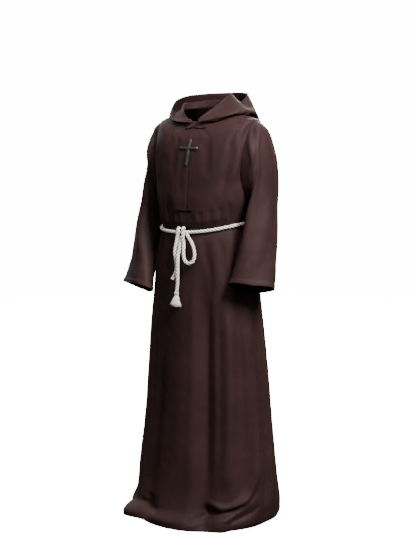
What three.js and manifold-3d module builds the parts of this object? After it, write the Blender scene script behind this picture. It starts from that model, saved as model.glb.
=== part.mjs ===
// Hooded monk robe in the form it has when worn, hollow, with a rope belt tied at the front.
// Millimetres. +Z is up, the front faces -Y and the wearer's left is +X.
// Heights in the tables are above the floor that the hem lies on; the origin is between the
// shoulders, where the robe is held, HOLD_HEIGHT above that floor.
import * as THREE from "three";
import Module from "manifold-3d";

const wasm = await Module();
wasm.setup();

// Driving sizes
const HOLD_HEIGHT = 1470;
const CLOTH = 2;
const SEAM_GAP = 0.3;
const ROPE = 13;
const ROPE_SIDES = 8;
const PANEL_COLUMNS = 26;
const ARMHOLE_STEPS = 9;
const ARMHOLE_DEPTH = 30;
const UNDERARM_LEVEL = 1200;
const SHOULDER_LEVEL = 1490;
const NECK_LEVEL = 1532;
const BELT_LEVEL = 1105;
const SLIT_FOOT_LEVEL = 1172;
const SLIT_WIDTH = 0.8;
// How much a tuft keeps of its depth away from the robe it hangs against
const TUFT_FLATNESS = 0.42;

const RAD = Math.PI / 180;

// The body, a row for each section. level is the height at the sides and names the section;
// front and back are its heights there, right and left its half widths, fore and aft its depths.
// square is 2 for an ellipse and more for a boxier section. tilt is how much higher the section
// lies at the wearer's left than at the right.
const BODY = [
  { level: 0, front: 0, back: 0, right: 312, left: 282, fore: 284, aft: 260, square: 2, tilt: 0 },
  { level: 22, front: 22, back: 22, right: 308, left: 290, fore: 280, aft: 257, square: 2, tilt: 0 },
  { level: 60, front: 60, back: 60, right: 293, left: 292, fore: 248, aft: 238, square: 2, tilt: 0 },
  { level: 154, front: 154, back: 154, right: 286, left: 282, fore: 222, aft: 220, square: 2, tilt: 0 },
  { level: 297, front: 297, back: 297, right: 267, left: 266, fore: 206, aft: 206, square: 2, tilt: 0 },
  { level: 445, front: 445, back: 445, right: 252, left: 251, fore: 192, aft: 194, square: 2, tilt: 0 },
  { level: 676, front: 674, back: 678, right: 236, left: 228, fore: 175, aft: 178, square: 2, tilt: 0 },
  { level: 814, front: 807, back: 820, right: 226, left: 214, fore: 165, aft: 166, square: 2, tilt: 8 },
  { level: 960, front: 948, back: 970, right: 212, left: 202, fore: 153, aft: 154, square: 2.1, tilt: 20 },
  { level: 1060, front: 1042, back: 1078, right: 192, left: 190, fore: 143, aft: 142, square: 2.2, tilt: 28 },
  { level: 1092, front: 1073, back: 1111, right: 181, left: 180, fore: 133, aft: 131, square: 2.2, tilt: 28 },
  { level: 1105, front: 1085, back: 1125, right: 177, left: 176, fore: 129, aft: 127, square: 2.2, tilt: 28 },
  { level: 1118, front: 1098, back: 1139, right: 181, left: 180, fore: 134, aft: 131, square: 2.2, tilt: 28 },
  { level: 1145, front: 1127, back: 1162, right: 188, left: 187, fore: 147, aft: 140, square: 2.2, tilt: 24 },
  { level: 1200, front: 1190, back: 1208, right: 197, left: 197, fore: 149, aft: 141, square: 2.3, tilt: 0 },
  { level: 1265, front: 1248, back: 1266, right: 202, left: 204, fore: 143, aft: 141, square: 2.4, tilt: 0 },
  { level: 1340, front: 1312, back: 1338, right: 203, left: 210, fore: 136, aft: 141, square: 2.5, tilt: 0 },
  { level: 1425, front: 1376, back: 1410, right: 204, left: 213, fore: 126, aft: 138, square: 2.5, tilt: 0 },
  { level: 1490, front: 1424, back: 1464, right: 192, left: 207, fore: 113, aft: 126, square: 2.4, tilt: 0 },
  { level: 1508, front: 1447, back: 1492, right: 153, left: 164, fore: 102, aft: 110, square: 2.2, tilt: 0 },
  { level: 1521, front: 1468, back: 1520, right: 123, left: 126, fore: 90, aft: 95, square: 2, tilt: 0 },
  { level: 1532, front: 1486, back: 1544, right: 96, left: 96, fore: 76, aft: 80, square: 2, tilt: 0 },
];

// Levels of the panels' rows below the armhole and above it
const LOWER_LEVELS = [
  0, 14, 34, 62, 110, 170, 235, 310, 390, 475, 560, 645, 730, 815, 890, 960, 1020, 1062, 1092, 1105,
  1118, 1145, SLIT_FOOT_LEVEL,
];
const UPPER_LEVELS = [1499, 1509, 1520, NECK_LEVEL];

// Folds of the panels. at is the angle in degrees round the body, 0 at the wearer's left and
// -90 at the front; width is half the fold's width in degrees, depth is outward in millimetres,
// low and high are the levels where it fades out, and lean is its drift in degrees per metre up.
const FOLDS = [
  { at: -67, width: 13, depth: -17, low: -40, high: 1085, lean: -3 },
  { at: -45, width: 12, depth: 9, low: 60, high: 1000, lean: 4 },
  { at: -23, width: 11, depth: 10, low: -40, high: 900, lean: 2 },
  { at: -8, width: 9, depth: -9, low: -40, high: 980, lean: 0 },
  { at: -98, width: 15, depth: 5, low: -40, high: 900, lean: 0 },
  { at: -116, width: 9, depth: -7, low: -40, high: 760, lean: 4 },
  { at: -131, width: 11, depth: 9, low: -40, high: 1040, lean: -5 },
  { at: -149, width: 10, depth: -10, low: -40, high: 1000, lean: 0 },
  { at: -168, width: 10, depth: 8, low: -40, high: 960, lean: 3 },
  { at: 10, width: 10, depth: 7, low: -40, high: 940, lean: 2 },
  { at: 28, width: 11, depth: -12, low: -40, high: 1060, lean: -3 },
  { at: 50, width: 13, depth: 9, low: -40, high: 1000, lean: 3 },
  { at: 73, width: 11, depth: -14, low: -40, high: 1080, lean: 0 },
  { at: 96, width: 13, depth: 8, low: -40, high: 980, lean: -3 },
  { at: 119, width: 12, depth: -13, low: -40, high: 1070, lean: 2 },
  { at: 141, width: 12, depth: 9, low: -40, high: 1010, lean: -2 },
  { at: 162, width: 9, depth: -9, low: -40, high: 950, lean: 0 },
  { at: -62, width: 9, depth: -16, low: -12, high: 100, lean: 0 },
  { at: -48, width: 8, depth: 11, low: -60, high: 80, lean: 0 },
  { at: -113, width: 11, depth: -12, low: 0, high: 100, lean: 0 },
  { at: -131, width: 17, depth: 36, low: -60, high: 52, lean: 0 },
  { at: -28, width: 12, depth: -6, low: 1240, high: 1445, lean: 60 },
  { at: -41, width: 9, depth: 5, low: 1260, high: 1452, lean: 60 },
  { at: -54, width: 9, depth: -5, low: 1230, high: 1450, lean: 40 },
  { at: -148, width: 11, depth: -6, low: 1230, high: 1450, lean: -50 },
  { at: -133, width: 9, depth: 5, low: 1250, high: 1452, lean: -50 },
  { at: -106, width: 8, depth: -4, low: 1290, high: 1500, lean: 10 },
  { at: -74, width: 8, depth: -4, low: 1300, high: 1500, lean: -10 },
  { at: 52, width: 12, depth: -6, low: 1220, high: 1440, lean: 30 },
  { at: 92, width: 12, depth: -5, low: 1200, high: 1430, lean: 0 },
  { at: 130, width: 12, depth: -6, low: 1220, high: 1440, lean: -30 },
];

// Gathers drawn in by the belt
const GATHERS = { count: 19, depth: 5, clear: 13, full: 42, above: 150, below: 240 };
// Below this level the folds turn to go straight out, so that the hem stays on the floor
const HEM_TURN = 260;
const FADE_FOOT = 130;

// The wearer's left sleeve, a row for each section below the armhole. x, y, height is its
// centre. out is the half size towards the outer edge, which lies rise above the centre;
// across is the half size towards the front. turn swings the section round its centre.
const SLEEVE = [
  { x: 220, y: 2, height: 1330, out: 12, rise: 139, across: 80, turn: 0 },
  { x: 228, y: 3, height: 1299, out: 18, rise: 134, across: 75, turn: 0 },
  { x: 234, y: 4, height: 1256, out: 24, rise: 122, across: 71, turn: 0 },
  { x: 238, y: 4, height: 1202, out: 31, rise: 101, across: 68, turn: 0 },
  { x: 241, y: -1, height: 1136, out: 40, rise: 70, across: 67, turn: -2 },
  { x: 246, y: -18, height: 1064, out: 45, rise: 42, across: 70, turn: -12 },
  { x: 249, y: -42, height: 998, out: 45, rise: 27, across: 76, turn: -28 },
  { x: 249, y: -69, height: 938, out: 45, rise: 20, across: 83, turn: -43 },
  { x: 247, y: -95, height: 886, out: 43, rise: 20, across: 88, turn: -55 },
];
// How far each sleeve lies outward of the table below the shoulder and at the cuff, how far its
// cuff lies below it, how far its front edge bulges forwards and inwards at the elbow, how much
// wider its cuff is to each side and how much higher the cuff's front corner lies
const SLEEVE_SHIFT = {
  left: { top: 6, out: -2, drop: -1, fore: 27, inward: 15, wide: -5, tip: 20 },
  right: { top: -13, out: 12, drop: 30, fore: 10, inward: 0, wide: 18, tip: 15 },
};
const ELBOW = { at: 0.62, reach: 0.38 };
const SLEEVE_STEPS = 2;

// Folds of a sleeve: around is in degrees from its outer edge by the front, along runs from
// 0 at the armhole to 1 at the cuff, and lean is in degrees from one end to the other.
const SLEEVE_FOLDS = [
  { around: 60, width: 34, depth: -4, from: 0.02, to: 0.55, lean: 50 },
  { around: 28, width: 26, depth: 3, from: 0.05, to: 0.6, lean: 40 },
  { around: 100, width: 34, depth: -6, from: 0.3, to: 0.85, lean: -70 },
  { around: 20, width: 30, depth: -3, from: 0.45, to: 1.1, lean: 30 },
  { around: 75, width: 34, depth: 3, from: 0.55, to: 1.2, lean: 0 },
  { around: 250, width: 38, depth: -8, from: 0.25, to: 0.8, lean: 60 },
  { around: 310, width: 34, depth: -6, from: 0.1, to: 0.7, lean: -40 },
  { around: 285, width: 30, depth: 5, from: 0.5, to: 1.2, lean: 0 },
];

// The hood lies back on the shoulders as an open trough round the neck. A row for each section:
// neck is its angle on the neckline, lie the body level that its underside rests on and foot how
// far it hangs below the line from there to the outer edge; outX, outY and outH place the outer
// edge and rimX, rimY and rimH the rim.
const HOOD_LEFT = [
  { neck: -80, lie: 1528, foot: 0, outX: 16, outY: -95, outH: 1484, rimX: 14, rimY: -84, rimH: 1496 },
  { neck: -62, lie: 1523, foot: 2, outX: 62, outY: -87, outH: 1494, rimX: 42, rimY: -56, rimH: 1524 },
  { neck: -38, lie: 1518, foot: 3, outX: 115, outY: -70, outH: 1506, rimX: 70, rimY: -20, rimH: 1556 },
  { neck: -14, lie: 1513, foot: 4, outX: 154, outY: -38, outH: 1519, rimX: 96, rimY: 4, rimH: 1583 },
  { neck: 10, lie: 1509, foot: 5, outX: 172, outY: 8, outH: 1524, rimX: 124, rimY: 22, rimH: 1555 },
  { neck: 33, lie: 1503, foot: 4, outX: 168, outY: 74, outH: 1508, rimX: 132, rimY: 60, rimH: 1583 },
  { neck: 60, lie: 1456, foot: 22, outX: 132, outY: 150, outH: 1456, rimX: 84, rimY: 122, rimH: 1592 },
  { neck: 90, lie: 1418, foot: 44, outX: 0, outY: 184, outH: 1412, rimX: 0, rimY: 150, rimH: 1594 },
];
const HOOD_RIGHT = [
  { neck: -100, lie: 1528, foot: 0, outX: -22, outY: -95, outH: 1483, rimX: -20, rimY: -83, rimH: 1494 },
  { neck: -120, lie: 1523, foot: 2, outX: -70, outY: -89, outH: 1486, rimX: -66, rimY: -74, rimH: 1494 },
  { neck: -142, lie: 1518, foot: 3, outX: -118, outY: -73, outH: 1494, rimX: -110, rimY: -57, rimH: 1500 },
  { neck: -166, lie: 1515, foot: 4, outX: -148, outY: -38, outH: 1508, rimX: -137, rimY: -29, rimH: 1530 },
  { neck: -190, lie: 1512, foot: 5, outX: -160, outY: 8, outH: 1522, rimX: -143, rimY: 4, rimH: 1562 },
  { neck: -213, lie: 1503, foot: 4, outX: -164, outY: 74, outH: 1507, rimX: -130, rimY: 58, rimH: 1581 },
  { neck: -240, lie: 1456, foot: 22, outX: -132, outY: 150, outH: 1456, rimX: -84, rimY: 122, rimH: 1590 },
  { neck: -270, lie: 1418, foot: 44, outX: 0, outY: 184, outH: 1412, rimX: 0, rimY: 150, rimH: 1594 },
];
const HOOD_LIFT = 6;
// Before it lies down, the hood stands up round the neck: this high at the side and back, and
// this far out from the neckline
const HOOD_STAND = { height: 22, out: 3 };
const HOOD_SEAM_GAP = 1;
const HOOD_COLUMNS = 15;
const HOOD_ROWS = 17;
// Shares of the way from the neckline to the underside's last resting place
const HOOD_RESTS = [0.3, 0.52, 0.76, 1];

// The breast cross: its centre on the front panel, its bars, and how far it leans sideways for
// each millimetre up
const CROSS = {
  x: -6, height: 1389, up: 33, down: 63, arm: 40, width: 12.5, edge: 1.8, ridge: 4.4, lean: 0.1,
};

// The upper frog: x and height of its cords' points on the front panel
const FROG_CORD = 4;
const FROG_RIGHT = [[-38, 1458], [-27, 1457], [-16, 1461], [-8, 1464]];
const FROG_LEFT = [[0, 1464], [14, 1462], [30, 1459], [48, 1459]];
const FROG_KNOT = { x: -4, height: 1466, size: 7 };
const BAR = { right: -44, left: 24, height: 1165, width: 6.5, thick: 3 };

// Hand-laid route of each piece of rope that hangs at the front: x, y, height
const KNOT_X = -28;
const WRAP_RIGHT = [
  [-38, -137.7, 1098], [-38, -142.7, 1098], [-39, -146.7, 1092], [-39, -147.2, 1082], [-40, -148.4, 1070],
  [-41, -150, 1061],
];
const WRAP_LEFT = [
  [-16, -139.4, 1100], [-16, -144.4, 1100], [-16, -148.4, 1094], [-15, -148.9, 1084], [-14, -150.2, 1072],
  [-12, -152, 1062],
];
const TAIL_SHORT = [
  [-41.1, -150.1, 1060.5], [-42.8, -152, 1045], [-45, -155, 1028], [-45, -158, 1010], [-42, -160, 994],
  [-38, -161, 978], [-35, -162, 962], [-35, -164, 948], [-38, -167, 934], [-42, -170, 923],
];
const TAIL_LONG = [
  [-29.2, -140.7, 1071.6], [-28.2, -145.5, 1058], [-26, -152, 1042], [-24, -160, 1024], [-23, -168, 1008],
  [-22, -173, 992], [-21, -176, 976], [-20, -178, 960], [-19, -179, 944], [-19, -180, 928],
  [-19, -180, 912], [-20, -180, 896], [-22, -180, 880], [-23, -180, 868],
];
const BOW_LOOP = [
  [-11.9, -152.1, 1061.5], [-8.7, -153.8, 1045.5], [-6, -159, 1024], [-3, -164, 1004], [4, -167, 986],
  [15, -169, 976], [27, -169, 975], [38, -167, 983], [44, -164, 998], [42, -161, 1016],
  [34, -157, 1036], [22, -153, 1054], [9, -150.5, 1069], [-0.5, -149.6, 1082],
];
// Tufts: rings is the number of strands in each ring from the middle outwards. They hang against
// the robe, so they are flat towards it.
const TASSEL = { length: 61, spread: 27, head: 8.5, headLength: 14, strand: 2, rings: [1, 5, 9, 13] };
const FRAY = { length: 16, spread: 9, head: 6.2, headLength: 6, strand: 1.8, rings: [1, 4, 8] };

// Colours, roughness
const BROWN = { color: 0x3e2b2a, roughness: 0.62 };
const BROWN_HOOD = { color: 0x42302e, roughness: 0.62 };
const CREAM = { color: 0xece4da, roughness: 0.85 };
const BLACK = { color: 0x121012, roughness: 0.5 };
const PEWTER = { color: 0x343632, roughness: 0.4, metalness: 0.35 };

// Monotone cubic through one column of a table
function columnAt(table, key, name, at) {
  const last = table.length - 1;
  const x = Math.min(Math.max(at, table[0][key]), table[last][key]);
  let i = 0;
  while (i < last - 1 && x > table[i + 1][key]) i++;
  const slope = (k) => (table[k + 1][name] - table[k][name]) / (table[k + 1][key] - table[k][key]);
  const tangent = (k) => {
    if (k === 0) return slope(0);
    if (k === last) return slope(last - 1);
    const before = slope(k - 1);
    const after = slope(k);
    return before * after <= 0 ? 0 : (2 * before * after) / (before + after);
  };
  const span = table[i + 1][key] - table[i][key];
  const t = (x - table[i][key]) / span;
  const rise = table[i + 1][name] - table[i][name];
  const a = tangent(i) * span;
  const b = tangent(i + 1) * span;
  return table[i][name] + t * (a + t * (3 * rise - 2 * a - b + t * (a + b - 2 * rise)));
}

function smooth(t) {
  const x = Math.min(Math.max(t, 0), 1);
  return x * x * (3 - 2 * x);
}

// 1 at the middle of a fold, falling softly to 0 at its edges
function bump(distance, halfWidth) {
  return Math.abs(distance) < halfWidth ? 0.5 + 0.5 * Math.cos((Math.PI * distance) / halfWidth) : 0;
}

function turnBetween(a, b) {
  return ((((a - b + 180) % 360) + 360) % 360) - 180;
}

// 1 between low and high, easing to 0 at both: slowly at the top, and at the foot within FADE_FOOT
function fade(at, low, high) {
  const ease = 0.32 * (high - low);
  return smooth((at - low) / Math.min(ease, FADE_FOOT)) * smooth((high - at) / ease);
}

function sectionAt(level) {
  const row = { level };
  for (const name of ["front", "back", "right", "left", "fore", "aft", "square", "tilt"])
    row[name] = columnAt(BODY, "level", name, level);
  return row;
}

// Point of the plain body at an angle (radians) and level, before its folds
function plainBody(angle, level) {
  const row = sectionAt(level);
  const c = Math.cos(angle);
  const s = Math.sin(angle);
  const power = 2 / row.square;
  const x = (c > 0 ? row.left : row.right) * Math.sign(c) * Math.abs(c) ** power;
  const y = (s < 0 ? row.fore : row.aft) * Math.sign(s) * Math.abs(s) ** power;
  const height = row.level + ((s < 0 ? row.front : row.back) - row.level) * s * s + (row.tilt * c) / 2;
  return new THREE.Vector3(x, y, height - HOLD_HEIGHT);
}

// Outward normal of a surface given by two parameters
function normalOf(surface, u, v, du, dv) {
  const along = surface(u + du, v).sub(surface(u - du, v));
  const up = surface(u, v + dv).sub(surface(u, v - dv));
  return along.cross(up).normalize();
}

function gatherDepth(degrees, level) {
  const away = level - BELT_LEVEL;
  const reach = away > 0 ? GATHERS.above : GATHERS.below;
  const grow = smooth((Math.abs(away) - GATHERS.clear) / (GATHERS.full - GATHERS.clear));
  const strength = grow * (1 - smooth((Math.abs(away) - GATHERS.full) / (reach - GATHERS.full)));
  const wave = degrees * RAD * GATHERS.count;
  const uneven = 0.6 + 0.4 * Math.sin(3 * degrees * RAD + 1);
  return -GATHERS.depth * strength * uneven * (0.5 + 0.5 * Math.sin(wave + 2 * Math.sin(2 * degrees * RAD)));
}

function foldDepth(angle, level) {
  const degrees = angle / RAD;
  const waist = smooth((Math.abs(level - BELT_LEVEL) - GATHERS.clear) / 30);
  let depth = gatherDepth(degrees, level);
  for (const fold of FOLDS) {
    const at = fold.at + (fold.lean * (level - Math.max(fold.low, 0))) / 1000;
    depth += fold.depth * waist * fade(level, fold.low, fold.high) * bump(turnBetween(degrees, at), fold.width);
  }
  return depth;
}

function body(angle, level) {
  const point = plainBody(angle, level);
  const depth = foldDepth(angle, level);
  if (depth === 0) return point;
  const outward = normalOf(plainBody, angle, level, 0.002, 1);
  outward.z *= smooth(level / HEM_TURN);
  return point.addScaledVector(outward.normalize(), depth);
}

function bodyNormal(angle, level) {
  return normalOf(body, angle, Math.min(Math.max(level, 2), NECK_LEVEL - 1), 0.01, 1);
}

// Angle at which the body's side lies a given distance from the side seam's line
function seamAngle(level, front, distance) {
  const row = sectionAt(level);
  return Math.asin((distance / (front ? row.fore : row.aft)) ** (row.square / 2));
}

// Angle from the side where a panel ends, at the side seam or the armhole
function panelEdge(level, front) {
  const seam = seamAngle(level, front, SEAM_GAP / 2);
  const middle = (UNDERARM_LEVEL + SHOULDER_LEVEL) / 2;
  const s = (level - middle) / (SHOULDER_LEVEL - middle);
  return Math.abs(s) >= 1 ? seam : Math.max(seam, ARMHOLE_DEPTH * RAD * Math.sqrt(1 - s * s));
}

function armholeLevel(turn) {
  const middle = (UNDERARM_LEVEL + SHOULDER_LEVEL) / 2;
  return middle + (SHOULDER_LEVEL - middle) * Math.cos(turn);
}

function panelLevels() {
  const levels = [...LOWER_LEVELS];
  for (let k = ARMHOLE_STEPS; k >= 0; k--) levels.push(armholeLevel((Math.PI * k) / ARMHOLE_STEPS));
  return [...levels, ...UPPER_LEVELS];
}

// A closed wall from a grid of outer and inner points. Points that are named alike in two
// places are one corner, so that a grid can close on itself or be slit.
function wallGeometry(cells, outer, inner) {
  const faces = [];
  const edges = new Set();
  const count = outer.length;
  const addFace = (a, b, c) => {
    faces.push(a, b, c, c + count, b + count, a + count);
    edges.add(a + "," + b).add(b + "," + c).add(c + "," + a);
  };
  for (const [a, b, c, d] of cells) {
    addFace(a, b, c);
    addFace(a, c, d);
  }
  for (const edge of edges) {
    const [a, b] = edge.split(",").map(Number);
    if (!edges.has(b + "," + a)) faces.push(b, a, a + count, b, a + count, b + count);
  }
  return solidGeometry([...outer, ...inner], faces);
}

// A geometry whose faces point outwards
function solidGeometry(points, faces) {
  let volume = 0;
  for (let i = 0; i < faces.length; i += 3) {
    const [a, b, c] = [points[faces[i]], points[faces[i + 1]], points[faces[i + 2]]];
    volume += a.dot(b.clone().cross(c));
  }
  const geometry = new THREE.BufferGeometry().setFromPoints(points);
  geometry.setIndex(volume < 0 ? [...faces].reverse() : faces);
  geometry.computeVertexNormals();
  return geometry;
}

function gridCells(rows, columns, closed) {
  const cells = [];
  const across = closed ? columns : columns - 1;
  for (let r = 0; r + 1 < rows; r++)
    for (let c = 0; c < across; c++) {
      const next = (c + 1) % columns;
      const corners = [r * columns + c, r * columns + next, (r + 1) * columns + next, (r + 1) * columns + c];
      cells.push(corners);
    }
  return cells;
}

// Back panel: from the wearer's left round the back to the right
function backGeometry() {
  const outer = [];
  const inner = [];
  const levels = panelLevels();
  for (const level of levels) {
    const edge = panelEdge(level, false);
    for (let c = 0; c <= PANEL_COLUMNS; c++) {
      const angle = edge + ((Math.PI - 2 * edge) * c) / PANEL_COLUMNS;
      pushWallPoint(angle, level, outer, inner);
    }
  }
  return wallGeometry(gridCells(levels.length, PANEL_COLUMNS + 1, false), outer, inner);
}

function pushWallPoint(angle, level, outer, inner) {
  const point = body(angle, level);
  outer.push(point);
  inner.push(point.clone().addScaledVector(bodyNormal(angle, level), -CLOTH));
}

// Front panel, whose middle column is doubled above the foot of the slit
function frontGeometry() {
  const outer = [];
  const inner = [];
  const levels = panelLevels();
  const half = PANEL_COLUMNS / 2;
  const columns = PANEL_COLUMNS + 2;
  for (const level of levels) {
    const edge = panelEdge(level, true);
    const slit = level > SLIT_FOOT_LEVEL ? SLIT_WIDTH / 2 / sectionAt(level).left : 0;
    for (let c = 0; c < columns; c++) {
      const left = c > half;
      const start = left ? -Math.PI / 2 + slit : -Math.PI + edge;
      const end = left ? -edge : -Math.PI / 2 - slit;
      const angle = start + ((end - start) * (left ? c - half - 1 : c)) / half;
      pushWallPoint(angle, level, outer, inner);
    }
  }
  const corner = (r, c) => r * columns + (c === half + 1 && levels[r] <= SLIT_FOOT_LEVEL ? half : c);
  const cells = [];
  for (let r = 0; r + 1 < levels.length; r++)
    for (let c = 0; c + 1 < columns; c++)
      if (c !== half) cells.push([corner(r, c), corner(r, c + 1), corner(r + 1, c + 1), corner(r + 1, c)]);
  return wallGeometry(cells, outer, inner);
}

// Point of the sleeve on its section curve, for a turn from the outer edge by the front
function sleeveRing(row, turn) {
  const swing = row.turn * RAD;
  const c = Math.cos(turn);
  const s = Math.sin(turn);
  const x = row.x + row.out * Math.cos(swing) * c + row.across * Math.sin(swing) * s;
  const y = row.y + row.out * Math.sin(swing) * c - row.across * Math.cos(swing) * s;
  return new THREE.Vector3(x, y, row.height + row.rise * c - HOLD_HEIGHT);
}

// Where a sleeve's top edge meets the armhole, just inside the panels' edges. The result is
// mirrored for the right sleeve, which is worked out as a left one.
function armholePoint(turn, side, read) {
  const level = armholeLevel(turn) - SEAM_GAP * 1.2 * Math.cos(turn);
  const away = (ARMHOLE_DEPTH * RAD - 0.0025) * Math.abs(Math.sin(turn));
  const angle = side > 0 ? away : Math.PI - away;
  return mirrored(read(turn < Math.PI ? -angle : angle, level), side);
}

function sleeveCurves(side) {
  const columns = 2 * ARMHOLE_STEPS;
  const curves = [];
  for (let c = 0; c < columns; c++) {
    const turn = (2 * Math.PI * c) / columns;
    const points = [armholePoint(turn, side, body), ...SLEEVE.map((row) => sleeveRing(row, turn))];
    curves.push(new THREE.CatmullRomCurve3(points, false, "centripetal"));
  }
  return curves;
}

function sleeveFold(turn, along) {
  let depth = 0;
  for (const fold of SLEEVE_FOLDS) {
    const at = fold.around + fold.lean * (along - fold.from);
    const ends = fade(along, fold.from, fold.to);
    depth += fold.depth * ends * bump(turnBetween(turn / RAD, at), fold.width);
  }
  return depth;
}

// How much of a sleeve's upper and lower shift applies at a place along it
function sleeveShares(along) {
  return [smooth(5 * along) * (1 - smooth((along - 0.25) / 0.4)), smooth(1.5 * along - 0.5)];
}

function sleeveGeometry(side, shift) {
  const curves = sleeveCurves(side);
  const columns = curves.length;
  const rows = SLEEVE.length * SLEEVE_STEPS + 1;
  const cuffTurn = SLEEVE.at(-1).turn * RAD;
  const plain = [];
  for (let r = 0; r < rows; r++) for (const curve of curves) plain.push(curve.getPoint(r / (rows - 1)));
  const at = (r, c) => plain[Math.min(Math.max(r, 0), rows - 1) * columns + ((c + columns) % columns)];
  const normal = (r, c) => {
    if (r === 0) return armholePoint((2 * Math.PI * c) / columns, side, bodyNormal);
    const round = at(r, c + 1).clone().sub(at(r, c - 1));
    return at(r - 1, c).clone().sub(at(r + 1, c)).cross(round).normalize();
  };
  const outer = [];
  const inner = [];
  for (let r = 0; r < rows; r++)
    for (let c = 0; c < columns; c++) {
      const n = normal(r, c);
      const along = r / (rows - 1);
      const depth = r === 0 ? 0 : sleeveFold((2 * Math.PI * c) / columns, along);
      const point = at(r, c).clone().addScaledVector(n, depth);
      const [upper, lower] = sleeveShares(along);
      const forwards = Math.sin((2 * Math.PI * c) / columns);
      const front = Math.max(0, forwards);
      const elbow = bump(along - ELBOW.at, ELBOW.reach) * front;
      const spread = shift.wide * lower * forwards;
      point.x += shift.top * upper + shift.out * lower - shift.inward * elbow + spread * Math.sin(cuffTurn);
      point.y -= shift.fore * elbow + spread * Math.cos(cuffTurn);
      point.z += (shift.tip * front - shift.drop) * lower;
      outer.push(mirrored(point, side));
      inner.push(mirrored(point.addScaledVector(n, -CLOTH), side));
    }
  return wallGeometry(gridCells(rows, columns, true), outer, inner);
}

function mirrored(point, side) {
  return new THREE.Vector3(side * point.x, point.y, point.z);
}

// The hood's table read at a place from 0 at its front to 1 at the centre back
function hoodRow(table, share) {
  const place = share * (table.length - 1);
  const i = Math.min(Math.floor(place), table.length - 2);
  const row = {};
  for (const name of Object.keys(table[0])) {
    const value = (k) => table[Math.min(Math.max(k, 0), table.length - 1)][name];
    const [a, b, c, d] = [value(i - 1), value(i), value(i + 1), value(i + 2)];
    const t = place - i;
    const bend = t * (2 * a - 5 * b + 4 * c - d + t * (3 * (b - c) + d - a));
    row[name] = b + 0.5 * t * (c - a + bend);
  }
  return row;
}

// Level direction out from the neck
function outward(angle) {
  return new THREE.Vector3(Math.cos(angle), Math.sin(angle), 0);
}

// Section of the hood: up from the neckline, over the shoulder, round its foot and up to the rim
function hoodSection(row, share) {
  const angle = row.neck * RAD;
  const lifted = (level) => body(angle, level).addScaledVector(bodyNormal(angle, level), HOOD_LIFT);
  const seam = body(angle, NECK_LEVEL);
  seam.z += HOOD_SEAM_GAP;
  const stand = seam.clone().addScaledVector(outward(angle), HOOD_STAND.out);
  stand.z += HOOD_STAND.height * smooth(share / 0.5);
  const lying = HOOD_RESTS.map((share) => lifted(NECK_LEVEL + share * (row.lie - NECK_LEVEL)));
  const outer = new THREE.Vector3(row.outX, row.outY, row.outH - HOLD_HEIGHT);
  const rim = new THREE.Vector3(row.rimX, row.rimY, row.rimH - HOLD_HEIGHT);
  const foot = lying.at(-1).clone().lerp(outer, 0.6);
  foot.z -= row.foot;
  return new THREE.CatmullRomCurve3([seam, stand, ...lying, foot, outer, rim], false, "centripetal");
}

// side is 1 for the wearer's left half and -1 for the right
function hoodGeometry(table, side) {
  const step = 0.02;
  const last = HOOD_COLUMNS - 1;
  const outer = [];
  const inner = [];
  const columns = between(0, last, last).map((c) => {
    const near = [c, Math.max(c - step, 0), Math.min(c + step, last)];
    return near.map((at) => hoodSection(hoodRow(table, at / last), at / last));
  });
  for (let r = 0; r < HOOD_ROWS; r++)
    columns.forEach(([section, before, after], c) => {
      const t = r / (HOOD_ROWS - 1);
      const round = after.getPoint(t).sub(before.getPoint(t));
      const n = section.getTangent(t).cross(round).normalize().multiplyScalar(side);
      const point = section.getPoint(t);
      const within = point.clone().addScaledVector(n, CLOTH);
      if (c === last) point.x = within.x = (side * SEAM_GAP) / 2;
      outer.push(point);
      inner.push(within);
    });
  return wallGeometry(gridCells(HOOD_ROWS, HOOD_COLUMNS, false), outer, inner);
}

// Angle round the front of the body whose point has the given x
function frontAngle(x, level) {
  const row = sectionAt(level);
  const share = (Math.abs(x) / (x > 0 ? row.left : row.right)) ** (row.square / 2);
  return x > 0 ? -Math.acos(share) : -Math.PI + Math.acos(share);
}

// Level of the front panel at a height above the floor
function frontLevel(height) {
  let low = 0;
  let high = NECK_LEVEL;
  for (let k = 0; k < 40; k++) {
    const middle = (low + high) / 2;
    if (sectionAt(middle).front < height) low = middle;
    else high = middle;
  }
  return low;
}

// A bar that follows the front panel: profile is a list of (across, out) points
function panelBar(route, profile, lift) {
  const places = route.map(([x, height]) => {
    const level = frontLevel(height);
    const angle = frontAngle(x, level);
    return { point: body(angle, level), normal: bodyNormal(angle, level) };
  });
  const points = [];
  places.forEach(({ point, normal }, k) => {
    const next = places[Math.min(k + 1, places.length - 1)].point;
    const last = places[Math.max(k - 1, 0)].point;
    const side = normal.clone().cross(next.clone().sub(last)).normalize();
    for (const [across, out] of profile)
      points.push(point.clone().addScaledVector(side, across).addScaledVector(normal, out + lift));
  });
  return loftGeometry(points, profile.length);
}

// A closed solid through rings of points, with flat ends
function loftGeometry(points, sides) {
  const rings = points.length / sides;
  const faces = [];
  for (const [a, b, c, d] of gridCells(rings, sides, true)) faces.push(a, b, c, a, c, d);
  const last = (rings - 1) * sides;
  for (let k = 1; k + 1 < sides; k++) faces.push(0, k + 1, k, last, last + k, last + k + 1);
  return solidGeometry(points, faces);
}

function roundProfile(diameter, sides) {
  return Array.from({ length: sides }, (_, k) => {
    const turn = (2 * Math.PI * k) / sides;
    return [(diameter / 2) * Math.cos(turn), (diameter / 2) * Math.sin(turn)];
  });
}

function between(start, end, steps) {
  return Array.from({ length: steps + 1 }, (_, k) => start + ((end - start) * k) / steps);
}

function toManifold(geometry) {
  const vertProperties = new Float32Array(geometry.attributes.position.array);
  const triVerts = new Uint32Array(geometry.index.array);
  return new wasm.Manifold(new wasm.Mesh({ numProp: 3, vertProperties, triVerts }));
}

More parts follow.
